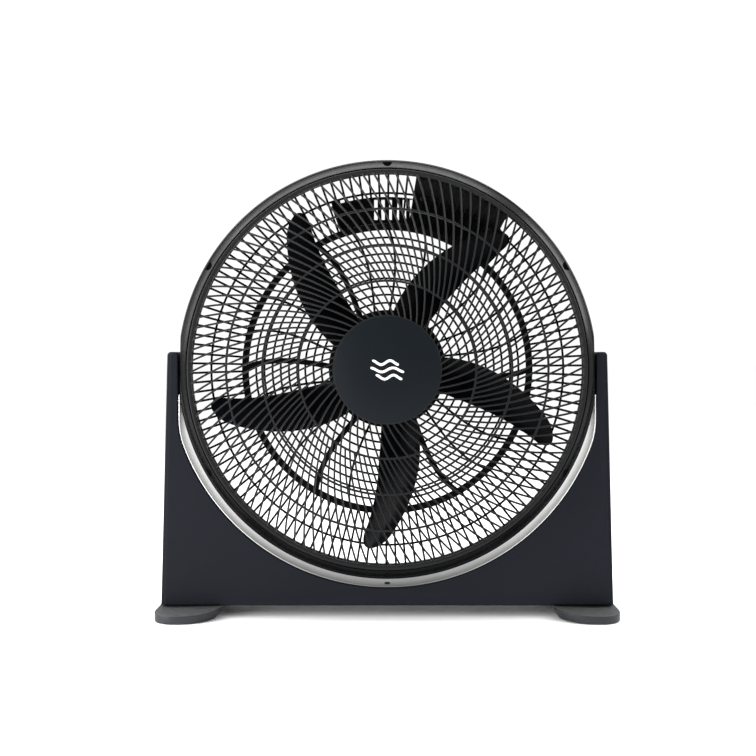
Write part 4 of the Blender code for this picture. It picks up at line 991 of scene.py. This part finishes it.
class FAN_OT_cap(bpy.types.Operator):
    """Build the domed centre cap with its printed wind mark"""
    bl_idname = "fan.cap"
    bl_label = "Centre cap"
    bl_options = {"REGISTER", "UNDO"}

    def execute(self, context):
        low, high = corners_of("grille_cap")
        radius = 0.5 * (high[0] - low[0])
        crown = 0.0060
        edge = low[1] + crown

        def face(distance):
            """Depth of the dome: edge - crown (1 - (distance / radius)^2.6)."""
            return edge - crown * (1.0 - np.clip(distance / radius, 0.0, 1.0) ** 2.6)

        t = np.linspace(0.0, 0.975, 30) * radius
        dome = np.stack((t, face(t)), -1)
        side = filleted([(0.975 * radius, face(0.975 * radius)), (radius - 0.0001, edge - 0.0001),
                         (radius, edge + 0.0011), (0.0570, edge + 0.0011), (0.0570, high[1]),
                         (0, high[1])], 0.0006, 4, closed=False)
        piece = Piece("centre_cap")
        piece.turn(np.concatenate((dome, side[1:])), sides=160)
        piece.settle("cap", "head", "cap_plastic", "grille_cap")

        # three wavy strokes, one above the other, lying on the dome
        piece = Piece("wind_mark")
        along = np.linspace(-1.0, 1.0, 61)
        for row, (rise, reach) in enumerate(((0.0092, 0.0170), (0.0, 0.0215), (-0.0092, 0.0170))):
            x = along * reach + 0.0022 * (row - 1)
            z = rise + 0.0026 * np.sin(along * 1.5 * math.pi)
            stroke = np.stack((x, face(np.hypot(x, z)) - 0.00004, z + FAN[2]), -1)
            ends = np.sqrt(np.clip(1.0 - np.abs(along) ** 26, 0.03, 1.0))
            piece.lofts(bars(stroke[None], -Y, 0.0031, 0.00022, 8, ends[None]))
        piece.settle("mark", "head", "cap_plastic")
        return {"FINISHED"}


def basket_wall(number=None):
    """Middle line of the basket's side wall, (radius, depth), from the rim to the thick ring."""
    line = filleted([(0.2606, -0.0272), (0.2588, -0.0258), (0.2394, 0.0128), (0.2014, 0.0466),
                     (0.1975, 0.0471)], 0.010, 8, closed=False)
    return line if number is None else resampled(line, number)


def wall_depth(radius):
    """Depth of the side wall's middle line at a radius, read off that line."""
    line = basket_wall()
    return np.interp(radius, line[::-1, 0], line[::-1, 1])


def back_depth(radius):
    """Depth of the basket's flat back, which falls slightly towards the motor."""
    depth, at_radius, fall = 0.0490, 0.0900, 0.0205
    return depth - (np.asarray(radius) - at_radius) * fall


class FAN_OT_basket(bpy.types.Operator):
    """Build the rear basket: side ribs, thick ring, thin rings, bowed spokes and motor plate"""
    bl_idname = "fan.basket"
    bl_label = "Rear basket"
    bl_options = {"REGISTER", "UNDO"}

    def execute(self, context):
        size = context.scene.fan_basket
        piece = Piece("rear_guard")
        rim = filleted([(0.2580, -0.0297), (0.2630, -0.0297), (0.2630, -0.0252), (0.2574, -0.0252)],
                       0.0008, 3)
        piece.turn(rim, sides=256)
        ring_bar(piece, size.wall_ring, wall_depth(size.wall_ring) + 0.0002, 0.0028, 0.0034)
        band_mid = 0.5 * (size.band_in + size.band_out)
        ring_bar(piece, band_mid, back_depth(band_mid), size.band_out - size.band_in, 0.0044, 256, 0.0012)
        plate_bore = 0.0535
        plate_mid = 0.5 * (size.plate + plate_bore)
        ring_bar(piece, plate_mid, 0.0485, size.plate - plate_bore, 0.0030, 160)
        first = size.plate + 0.0006
        for number in range(size.rings):
            radius = first + number * size.ring_pitch
            ring_bar(piece, radius, back_depth(radius), 0.0028, 0.0030, 160)

        wall = basket_wall(11)
        angle = size.phase + np.arange(size.side_ribs)[:, None] * TURN / size.side_ribs
        centres = polar(wall[None, :, 0], angle, wall[None, :, 1])
        run = unit(np.gradient(wall, axis=0))
        up = polar(-run[None, :, 1], angle, run[None, :, 0]) - FAN
        piece.lofts(bars(centres, up, size.rib_width, 0.0036))

        def spokes(numbers, width, height, sides):
            """Bowed spokes: a spoke leads by bow t^2, where t runs from -1 to 1 between the rings."""
            radius = np.linspace(size.band_in + 0.002, size.plate - 0.001, 13)[None]
            middle, reach = 0.129, 0.069
            bow = (radius - middle) / reach
            turn = size.bow * bow ** 2
            place = size.phase + numbers[:, None] * TURN / size.spokes + turn
            piece.lofts(bars(polar(radius, place, back_depth(radius)), Y, width, height, sides))

        every = np.arange(size.spokes)
        heavy = every % 4 == 0
        spokes(every[~heavy], 0.0032, 0.0034, 6)
        spokes(every[heavy], 0.0076, 0.0046, 8)
        piece.settle("rear", "head", "rear_plastic", "rear_basket")
        return {"FINISHED"}


def sector_block(piece, profile, start, end, edge=0.0012, steps=40):
    """A (radius, depth) outline swept from one angle to another, with rounded ends.

    Towards each end the outline shrinks as a quarter circle does, then a flat lid closes it.
    """
    outline = np.asarray(profile, float)
    area = np.sum(outline[:, 0] * np.roll(outline[:, 1], -1) - outline[:, 1] * np.roll(outline[:, 0], -1))
    if area < 0.0:
        outline = outline[::-1]
    middle = outline[:, 0].mean()
    t = quarter_angles(5)
    inset = np.concatenate(([edge + 0.0004], edge * (1.0 - np.sin(t))))
    travel = np.concatenate(([0.0], edge * (1.0 - np.cos(t)))) / middle
    body = np.linspace(start + travel[-1], end - travel[-1], steps)[1:-1]
    angle = np.concatenate((start + travel, body, (end - travel)[::-1]))
    shrink = np.concatenate((inset, np.zeros(len(body)), inset[::-1]))
    loops = []
    for place, distance in zip(angle, shrink):
        loop = moved_in(outline, distance)
        loops.append(polar(loop[:, 0], place, loop[:, 1]))
    piece.loft(np.stack(loops))


class FAN_OT_motor(bpy.types.Operator):
    """Build the motor's bells, its laminated core and the vented rear cover"""
    bl_idname = "fan.motor"
    bl_label = "Motor"
    bl_options = {"REGISTER", "UNDO"}

    def execute(self, context):
        low, high = corners_of("motor_front_bell")
        radius = 0.5 * (high[0] - low[0])
        shaft = 0.0046
        cast = ("aluminium", "head", "cast_aluminium")
        bell = [(shaft, low[1]), (0.0130, low[1]), (0.0135, low[1] + 0.0015),
                (0.0290, low[1] + 0.0020), (0.0450, low[1] + 0.0042), (radius, low[1] + 0.0105),
                (radius, high[1]), (radius - 0.003, high[1]), (radius - 0.004, low[1] + 0.0130),
                (0.0110, low[1] + 0.0085), (shaft, low[1] + 0.0085)]
        lathe("front_bell", bell, 0.0014, 4, cast, "motor_front_bell", closed=True, sides=96)

        low, high = corners_of("stator_core")
        piece = Piece("stator_stack")
        bore, stack_radius = 0.0236, radius - 0.0004
        stack = oblong(bore, stack_radius, low[1], high[1])
        piece.turn(filleted(stack, 0.0005, 3), sides=96)
        bolt = np.arange(4) * TURN / 4 + math.pi / 4
        ends = np.stack((np.full(3, 0.0), np.linspace(low[1] - 0.010, high[1] + 0.004, 3), np.zeros(3)), -1)
        centres = ends[None] + polar(radius - 0.0020, bolt, 0.0)[:, None]
        piece.lofts(bars(centres, X, 0.0040, 0.0040, 12))
        piece.settle("laminations", "head", "steel", "stator_core")

        low, high = corners_of("motor_rear_bell")
        flange, flange_front, flange_back = 0.0640, 0.0503, 0.0528
        bell = [(radius - 0.003, low[1]), (radius, low[1]), (radius, flange_front),
                (flange, flange_front), (flange, flange_back), (radius, flange_back),
                (radius - 0.005, high[1]), (shaft, high[1]), (shaft, 0.0580), (radius - 0.006, 0.0540)]
        lathe("rear_bell", bell, 0.0012, 4, cast, "motor_rear_bell", closed=True, sides=96)

        # rear cover: an outer shell, a middle disc, and a ring of slim bars with gaps between them
        low, high = corners_of("motor_cover")
        rim = 0.5 * (high[0] - low[0])
        back, seat = high[1], low[1]
        wall = 0.0024
        piece = Piece("rear_cover")
        outer = filleted([(0.0600, back - 0.0045), (0.0665, back - 0.0068), (0.0735, back - 0.0150),
                          (rim, back - 0.0280), (rim, seat), (rim - wall, seat),
                          (rim - wall, back - 0.0275), (0.0735 - wall, back - 0.0160),
                          (0.0660 - wall * 0.6, back - 0.0068 - wall), (0.0600, back - 0.0045 - wall)],
                         0.0030, 6)
        piece.turn(outer, sides=160)
        disc = filleted([(0, back), (0.0270, back - 0.0004), (0.0300, back - 0.0012),
                         (0.0300, back - 0.0012 - wall), (0, back - wall)], 0.0012, 5, closed=False)
        piece.turn(disc, sides=96)
        vent = np.arange(48)[:, None] * TURN / 48
        vent_from, vent_to = 0.0292, 0.0612
        path = np.linspace(vent_from, vent_to, 5)[None]
        drop = np.interp(path, (vent_from, vent_to), (back - 0.0024, back - 0.0060))
        piece.lofts(bars(polar(path, vent, drop), Y, 0.0021, 0.0026, 6))
        ring_bar(piece, 0.0450, back - 0.0042, 0.0022, 0.0026, 96)
        piece.settle("rear", "head", "rear_plastic", "motor_cover")
        return {"FINISHED"}


# ------------------------------------------------------------------ impeller
class FAN_OT_impeller(bpy.types.Operator):
    """Build the hub, its twisted blades, the spinner nut and the shaft"""
    bl_idname = "fan.impeller"
    bl_label = "Impeller"
    bl_options = {"REGISTER", "UNDO"}

    def execute(self, context):
        size = context.scene.fan_blades
        piece = Piece("fan_wheel")
        hub = filleted([(0.0045, -0.0460), (0.0500, -0.0460), (0.0592, -0.0420), (0.0620, -0.0340),
                        (0.0620, 0.0040), (0.0590, 0.0040), (0.0590, -0.0320), (0.0510, -0.0430),
                        (0.0110, -0.0430), (0.0110, 0.0020), (0.0045, 0.0020)], 0.0030, 5)
        piece.turn(hub, sides=128)

        # Along a blade its radius goes as 1 - (1 - s)^1.7.  Its spread narrows evenly, less a
        # waist of t (1 - t), and closes at the tip as a quarter circle.  Across, the section is
        # a thin rounded strip that leans with the blade's depth and cups by a parabola.
        span = np.linspace(0.0, 1.0, 44)
        way = 1.0 - (1.0 - span) ** 1.7
        radius = size.root + (size.tip - size.root) * way
        spread = size.spread_root + (size.spread_tip - size.spread_root) * way
        spread = spread - size.waist * way * (1.0 - way)
        closing, closed = 0.89, 0.11
        tip = np.clip((way - closing) / closed, 0.0, 1.0)
        narrow = np.sqrt(np.maximum(1.0 - tip ** 2.0, 0.0))
        foremost, reach = 0.131, 0.103
        straight = -size.sweep * ((radius - foremost) / reach) ** 2
        depth = size.depth_root + (size.depth_tip - size.depth_root) * way
        around = round_angles(40)
        across = np.cos(around)
        across = np.sign(across) * np.abs(across) ** 0.8
        swell = np.sin(around)
        swell = np.sign(swell) * np.abs(swell) ** 0.55
        lag = 0.5 * spread[:, None] * narrow[:, None] * across
        cup, middle = 0.11, -0.0220
        camber = cup * depth[:, None] * (1.0 - across ** 2)
        thick = 0.5 * size.thick * (0.35 + 0.65 * narrow[:, None]) * swell
        y = middle - 0.5 * depth[:, None] * narrow[:, None] * across - camber + thick
        for number in range(size.blades):
            start = size.phase + number * TURN / size.blades
            angle = start + (straight + 0.5 * spread)[:, None] + lag
            piece.loft(polar(radius[:, None], angle, y))
        piece.settle("blade", "impeller", "blade_plastic", "impeller")

        low, high = corners_of("blade_nut")
        piece = Piece("spinner_nut")
        angle = round_angles(144)
        profile = filleted([(0, low[1]), (0.0095, low[1]), (0.0158, low[1] + 0.0058), (0.0160, high[1]),
                            (0, high[1])], 0.0030, 6, closed=False)
        flute = 1.0 - 0.05 * np.maximum(np.cos(9.0 * angle), 0.0) ** 2
        grid = polar(profile[:, :1] * flute[None], angle[None], profile[:, 1:])
        piece.sheet(grid)
        piece.settle("blade", "impeller", "blade_plastic", "blade_nut")

        low, high = corners_of("motor_shaft")
        lathe("steel_shaft", oblong(0, 0.0040, low[1], high[1]), 0.0006, 3,
              ("steel", "impeller", "steel"), "motor_shaft", sides=48)
        repaint("aluminium", "rotor_core")
        return {"FINISHED"}


# ------------------------------------------------------------------ controls
BOX_START, BOX_SHOULDER, BOX_END = np.radians((46.0, 51.9, 80.6))
BOX_INNER, BOX_STEP, BOX_OUTER = 0.1990, 0.2400, 0.2565


class FAN_OT_controls(bpy.types.Operator):
    """Build the control box, its lid, screws, gland and dial figures"""
    bl_idname = "fan.controls"
    bl_label = "Controls"
    bl_options = {"REGISTER", "UNDO"}

    def execute(self, context):
        low, high = corners_of("control_box_lid")
        lid_back = high[1]
        front, back = 0.0126, 0.0600
        skin = [(0.2025, 0.0486), (BOX_INNER, 0.0489), (BOX_INNER, back)]
        box = [(0.2422, front), (0.2411, 0.0141)] + skin + [(BOX_OUTER, back), (BOX_OUTER, front)]
        low_end = [(BOX_STEP, 0.0152)] + skin + [(BOX_STEP, back)]
        piece = Piece("switch_box")
        sector_block(piece, filleted(box, 0.0010, 3), BOX_SHOULDER, BOX_END)
        sector_block(piece, filleted(low_end, 0.0010, 3), BOX_START, BOX_SHOULDER + 0.01, steps=12)
        piece.settle("rear", "head", "rear_plastic", "control_box")

        # a plain panel on the basket's side wall, from the rim to the thick ring, ahead of the box
        piece = Piece("wall_panel")
        line = basket_wall(24)
        run = unit(np.gradient(line, axis=0))
        inward = np.stack((-run[:, 1], run[:, 0]), -1)
        thin = np.concatenate((line - inward * 0.0006, (line + inward * 0.0006)[::-1]))
        # past the step in the box the panel starts at a later angle
        later, panel_start, panel_end = np.radians((5.8, 45.9, 80.8))
        shift = np.clip((thin[:, 0] - BOX_STEP) / 0.0030, 0.0, 1.0) * later
        steps = np.linspace(0.0, 1.0, 60)[:, None]
        start = panel_start + shift[None]
        angle = start + (panel_end - start) * steps
        piece.loft(polar(thin[None, :, 0], angle, thin[None, :, 1]))
        piece.settle("rear", "head", "rear_plastic")

        piece = Piece("switch_lid")
        for outer, start, end in ((BOX_OUTER, BOX_SHOULDER, BOX_END),
                                  (BOX_STEP, BOX_START, BOX_SHOULDER + 0.01)):
            lid = filleted(oblong(BOX_INNER, outer, low[1], lid_back), 0.0008, 4)
            sector_block(piece, lid, start, end, 0.0008)
        piece.settle("rear", "head", "rear_plastic", "control_box_lid")

        for number in (1, 2):
            name = f"lid_screw_{number}"
            top = corners_of(name)[1][1]
            bolt(f"lid_bolt_{number}", name, top, Y, 0.0042, 0.0024)

        # two small screws seen from the front, through the panel
        piece = Piece("panel_screws")
        for place in (78.5, 53.6):
            radius = 0.2350
            centre = polar(radius, math.radians(place), wall_depth(radius) - 0.0020)
            slope = unit(polar(-0.62, math.radians(place), -0.78) - FAN)
            piece.sheet(screw_head(centre, slope, 0.0030, 0.0016, 48))
        piece.settle("black_steel", "head", "steel")

        low, high = corners_of("cord_gland")
        base, tip = low[1], high[1]
        steps = np.linspace(base + 0.0050, tip - 0.0010, 25)
        ripple = 0.0052 + 0.0004 * np.sign(np.sin((steps - base) * 2400.0)) - 0.03 * (steps - base - 0.005)
        profile = np.concatenate(([(0, base), (0.0062, base), (0.0062, base + 0.0046)],
                                  np.stack((ripple, steps), -1),
                                  [(0.0048, tip), (0.0034, tip), (0.0033, base + 0.0030),
                                   (0, base + 0.0030)]))
        lathe("rubber_gland", profile, 0.0003, 2, ("rubber", "head", "rubber"), "cord_gland",
              sides=56, centre=middle_of("cord_gland") * (1, 0, 1))
        self.dial(lid_back)
        repaint("nylon", "rotary_switch", "pivot_bush_left", "pivot_bush_right",
                "friction_washer_left", "friction_washer_right")
        repaint("aluminium", "capacitor")
        return {"FINISHED"}

    @staticmethod
    def dial(face):
        """Four figures round the knob, read from behind; the pointer rests at the first one."""
        size, radius = 0.0054, 0.0241
        for number, way in enumerate(np.radians((90.0, 45.0, 0.0, -45.0))):
            curve = bpy.data.curves.new("figure", "FONT")
            curve.body = str(number)
            curve.size = size
            curve.extrude = 0.00012
            curve.align_x = "CENTER"
            curve.align_y = "CENTER"
            text = bpy.data.objects.new("figure", curve)
            bpy.context.scene.collection.objects.link(text)
            bpy.context.view_layer.update()
            graph = bpy.context.evaluated_depsgraph_get()
            data = bpy.data.meshes.new_from_object(text.evaluated_get(graph))
            bpy.data.objects.remove(text)
            flat = np.zeros(len(data.vertices) * 3)
            data.vertices.foreach_get("co", flat)
            flat = flat.reshape(-1, 3)
            centre = KNOB * (1, 0, 1) + Y * (face + 0.0001)
            centre = centre + (X * math.cos(way) + Z * math.sin(way)) * radius
            placed = centre + flat[:, :1] * -X + flat[:, 1:2] * Z + flat[:, 2:] * Y
            data.vertices.foreach_set("co", placed.ravel())
            data.update()
            figure = bpy.data.objects.new(f"figure_{number}", data)
            bpy.context.scene.collection.objects.link(figure)
            data.materials.clear()
            data.materials.append(FINISHES["mark"])
            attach(figure, "head")


class FAN_OT_knob(bpy.types.Operator):
    """Build the fluted speed knob with its white pointer"""
    bl_idname = "fan.knob"
    bl_label = "Speed knob"
    bl_options = {"REGISTER", "UNDO"}

    def execute(self, context):
        low, high = corners_of("speed_knob")
        radius = 0.5 * (high[0] - low[0])
        base, top = low[1], high[1]
        skirt = base + 0.0035
        flutes = 20
        profile = filleted([(0, top - 0.0006), (0.60 * radius, top - 0.0006), (0.66 * radius, top),
                            (0.80 * radius, top), (0.86 * radius, skirt + 0.002), (0.97 * radius, skirt),
                            (radius, skirt - 0.0010), (radius, base), (0, base)], 0.0012, 5, closed=False)
        angle = round_angles(240)
        grip = np.clip((profile[:, 1] - skirt - 0.001) / 0.002, 0.0, 1.0)
        grip = grip * np.clip((profile[:, 0] - 0.68 * radius) / (0.08 * radius), 0.0, 1.0)
        # the grip's radius dips by 7 % in each flute, as (1/2 + 1/2 cos)^2 round the knob
        flute = 1.0 - 0.07 * grip[:, None] * (0.5 + 0.5 * np.cos(flutes * angle[None])) ** 2
        across = (profile[:, :1] * flute)[..., None]
        round_way = (X * np.cos(angle)[:, None] + Z * np.sin(angle)[:, None])[None]
        centre = KNOB * (1, 0, 1)
        piece = Piece("knob_body")
        piece.sheet(centre + across * round_way + profile[:, None, 1:] * Y)
        piece.settle("knob", "knob", "knob_plastic", "speed_knob")

        piece = Piece("knob_pointer")
        path = centre + Y * (top + 0.00005) + Z * np.linspace(0.0070, 0.0142, 3)[:, None]
        piece.lofts(bars(path[None], Y, 0.0014, 0.0012))
        piece.settle("mark", "knob", "knob_plastic")
        repaint("steel", "switch_spindle")
        return {"FINISHED"}


class FAN_OT_handle(bpy.types.Operator):
    """Build the slotted grip plate and the leg it stands on"""
    bl_idname = "fan.handle"
    bl_label = "Grip plate"
    bl_options = {"REGISTER", "UNDO"}

    def execute(self, context):
        start, end = BOX_END + 0.0016, math.radians(109.0)
        inner, outer, front, back = 0.1960, 0.2405, 0.0600, 0.0700
        slot_low, slot_high, slot_width, pitch, first = 0.2080, 0.2370, 0.0048, 0.0100, -0.0160
        slots = 6
        piece = Piece("grip_plate")
        # the plate is a net of columns across; a slot leaves out its middle rows
        edges = []
        for number in range(slots):
            middle = first + pitch * number
            edges += [middle - 0.5 * slot_width, middle + 0.5 * slot_width]
        sector_plate(piece, (start, end), (inner, outer), (front, back), edges[:-1],
                     (slot_low, slot_high))
        line = basket_wall(60)
        skin = np.stack((line[:, 0], line[:, 1] + 0.0030), -1)
        skin = skin[(skin[:, 0] > inner + 0.002) & (skin[:, 0] < outer - 0.001)]
        leg = np.concatenate((skin, [(inner + 0.002, back - 0.002), (outer - 0.001, back - 0.002)]))
        sector_block(piece, leg, end - math.radians(3.3), end - math.radians(0.3), 0.0008, 6)
        piece.settle("rear", "head", "rear_plastic", "carry_handle")
        return {"FINISHED"}


def sector_plate(piece, angles, radii, depths, edges, slot):
    """A curved plate with upright slots.

    Columns run at constant x between the slots' edges and out to the plate's slanted ends,
    and every second one is a slot: a block below it and a block above it.  The last slot is
    open towards the plate's low end.
    """
    (start, end), (inner, outer), (front, back) = angles, radii, depths
    chamfer = 0.0008
    steps = np.linspace(0.0, 1.0, 14)

    def row(left, right, radius, height):
        """A row of (x, z) from the left edge to the right one, at a radius or at a height."""
        ends = []
        for x, angle in ((left, end), (right, start)):
            if x is None and height is None:
                x = radius * math.cos(angle)
            elif x is None:
                x = height / math.tan(angle)
            ends.append(x)
        x = ends[0] + (ends[1] - ends[0]) * steps
        z = np.sqrt(radius ** 2 - x ** 2) if height is None else np.full(len(steps), height)
        return np.stack((x, z), -1)

    def block(left, right, bottom, top):
        """A chamfered block between two columns' edges and two rows."""
        low = row(left, right, inner, bottom)
        high = row(left, right, outer, top)
        loops = []
        for inset, depth in ((chamfer, front), (0.0, front + chamfer), (0.0, back - chamfer),
                             (chamfer, back)):
            drop_low = inset if bottom is None else 0.0
            drop_high = inset if top is None else 0.0
            loop = np.concatenate((low + (0.0, drop_low), (high - (0.0, drop_high))[::-1]))
            loops.append(np.insert(loop, 1, depth, axis=1) + FAN)
        piece.loft(np.stack(loops))

    for number, (left, right) in enumerate(zip([None] + edges, edges + [None])):
        if number % 2 == 0:
            block(left, right, None, None)
        else:
            block(left, right, None, slot[0])
            block(left, right, slot[1], None)


class FAN_OT_hardware(bpy.types.Operator):
    """Build the pivot caps, pins and the screws in the back of the stand"""
    bl_idname = "fan.hardware"
    bl_label = "Hardware"
    bl_options = {"REGISTER", "UNDO"}

    def execute(self, context):
        rear = corners_of("stand_rear_shell")[1][1]
        for name in shell_screws():
            bolt(name.replace("shell_screw", "shell_bolt"), name, rear + 0.0012, Y, 0.0042, 0.0020,
                 ("steel", "stand", "steel"))
        for side, sign in (("left", -1.0), ("right", 1.0)):
            low, high = corners_of("pivot_cap_" + side)
            outer_x = max(abs(low[0]), abs(high[0]))
            radius = 0.5 * (high[1] - low[1])
            face = outer_x + 0.0028
            disc = [(0, face + 0.0006), (0.55 * radius, face + 0.0006), (0.62 * radius, face),
                    (radius - 0.0004, face), (radius, face - 0.0006), (radius, outer_x - 0.0020),
                    (0, outer_x - 0.0020)]
            lathe("pivot_cover_" + side, disc, 0.0006, 4, ("stand", "stand", "stand_plastic"),
                  "pivot_cap_" + side, along=X * sign)
            low, high = corners_of("pivot_pin_" + side)
            inner_x = min(abs(low[0]), abs(high[0]))
            reach = max(abs(low[0]), abs(high[0]))
            lathe("pivot_shaft_" + side, oblong(0, 0.0070, inner_x, reach), 0.0006, 3,
                  ("steel", "head", "steel"), "pivot_pin_" + side, sides=48, along=X * sign)
        repaint("steel", "bearing_front", "bearing_rear")
        return {"FINISHED"}


# --------------------------------------------------------------------- stage
class FAN_OT_stage(bpy.types.Operator):
    """Lay the pale floor and set the soft studio light and the camera"""
    bl_idname = "fan.stage"
    bl_label = "Stage"
    bl_options = {"REGISTER", "UNDO"}

    def execute(self, context):
        scene = context.scene
        size = scene.fan_stage
        floor = Piece("floor")
        ring = np.array((0.0, 0.6, 1.5, 4.0, 12.0, 40.0))
        angle = round_angles(64)
        floor.sheet(np.stack((ring[:, None] * np.cos(angle), ring[:, None] * np.sin(angle),
                              np.zeros((len(ring), 64))), -1))
        FINISHES["floor"] = studio_floor("pale_floor")
        ground = floor.mesh("floor")

        world = bpy.data.worlds.new("studio")
        scene.world = world
        world.use_nodes = True
        world.node_tree.nodes["Background"].inputs["Color"].default_value = (1.0, 1.0, 1.0, 1.0)
        world.node_tree.nodes["Background"].inputs["Strength"].default_value = size.sky
        # name, place, the point it faces, size across and along, power
        lamps = (("top_softbox", (-0.50, 0.08, 2.00), (-0.50, 0.0, 0.0), 3.0, 0.5, 62.0),
                 ("right_softbox", (1.53, 0.06, 1.15), tuple(FAN), 0.4, 1.1, 23.0),
                 ("left_softbox", (-1.60, 0.06, 1.10), tuple(FAN), 0.4, 1.3, 17.0),
                 ("key_softbox", (-1.2, -0.9, 0.30), (0.0, 0.0, 0.2), 0.8, 0.5, 17.0))
        for name, place, target, width, depth, power in lamps:
            light = bpy.data.lights.new(name, "AREA")
            light.shape = "RECTANGLE"
            light.size = width
            light.size_y = depth
            light.energy = power
            lamp = bpy.data.objects.new(name, light)
            lamp.location = place
            lamp.rotation_euler = facing(np.array(target) - place)
            scene.collection.objects.link(lamp)

        lens = bpy.data.cameras.new("camera")
        lens.sensor_width = 36.0
        lens.lens = size.lens
        lens.shift_x = size.shift_x
        lens.shift_y = size.shift_y - size.raised * size.lens / (36.0 * size.distance)
        lens.clip_start = 0.05
        lens.clip_end = 100.0
        camera = bpy.data.objects.new("camera", lens)
        camera.location = FAN - Y * size.distance + Z * size.raised
        camera.rotation_euler = (math.pi / 2, 0.0, 0.0)
        scene.collection.objects.link(camera)
        scene.camera = camera
        scene.view_settings.view_transform = "Standard"
        return {"FINISHED"}


def facing(aim):
    """Turn that points a lamp's -Z along a direction."""
    flat = math.hypot(aim[0], aim[1])
    return (math.atan2(flat, -aim[2]), 0.0, math.atan2(aim[1], aim[0]) - math.pi / 2)


# ----------------------------------------------------------- panel and start
OPERATORS = (FAN_OT_stand, FAN_OT_trim, FAN_OT_feet, FAN_OT_ring, FAN_OT_front_grille, FAN_OT_cap,
             FAN_OT_basket, FAN_OT_motor, FAN_OT_impeller, FAN_OT_controls, FAN_OT_knob,
             FAN_OT_handle, FAN_OT_hardware, FAN_OT_stage)


class FAN_PT_sidebar(bpy.types.Panel):
    """Lists the fan's sizes, colours and build steps"""
    bl_idname = "FAN_PT_sidebar"
    bl_label = "Box fan"
    bl_space_type = "VIEW_3D"
    bl_region_type = "UI"
    bl_category = "Box fan"

    def draw(self, context):
        for name, group in SETTINGS.items():
            column = self.layout.box().column(align=True)
            for setting in group.__annotations__:
                column.prop(getattr(context.scene, name), setting)
        for operator in OPERATORS:
            self.layout.operator(operator.bl_idname)


def register():
    """Add the settings, the operators and the panel to Blender."""
    for group in SETTINGS.values():
        bpy.utils.register_class(group)
    for name, group in SETTINGS.items():
        setattr(bpy.types.Scene, name, PointerProperty(type=group))
    for operator in OPERATORS:
        bpy.utils.register_class(operator)
    bpy.utils.register_class(FAN_PT_sidebar)


def unregister():
    """Take them out again, in the opposite order."""
    bpy.utils.unregister_class(FAN_PT_sidebar)
    for operator in reversed(OPERATORS):
        bpy.utils.unregister_class(operator)
    for name, group in SETTINGS.items():
        delattr(bpy.types.Scene, name)
        bpy.utils.unregister_class(group)


def main():
    """Build the whole fan and its stage."""
    register()
    make_finishes(bpy.context.scene.fan_colours)
    for operator in OPERATORS:
        group, name = operator.bl_idname.split(".")
        getattr(getattr(bpy.ops, group), name)()


if __name__ == "__main__":
    main()
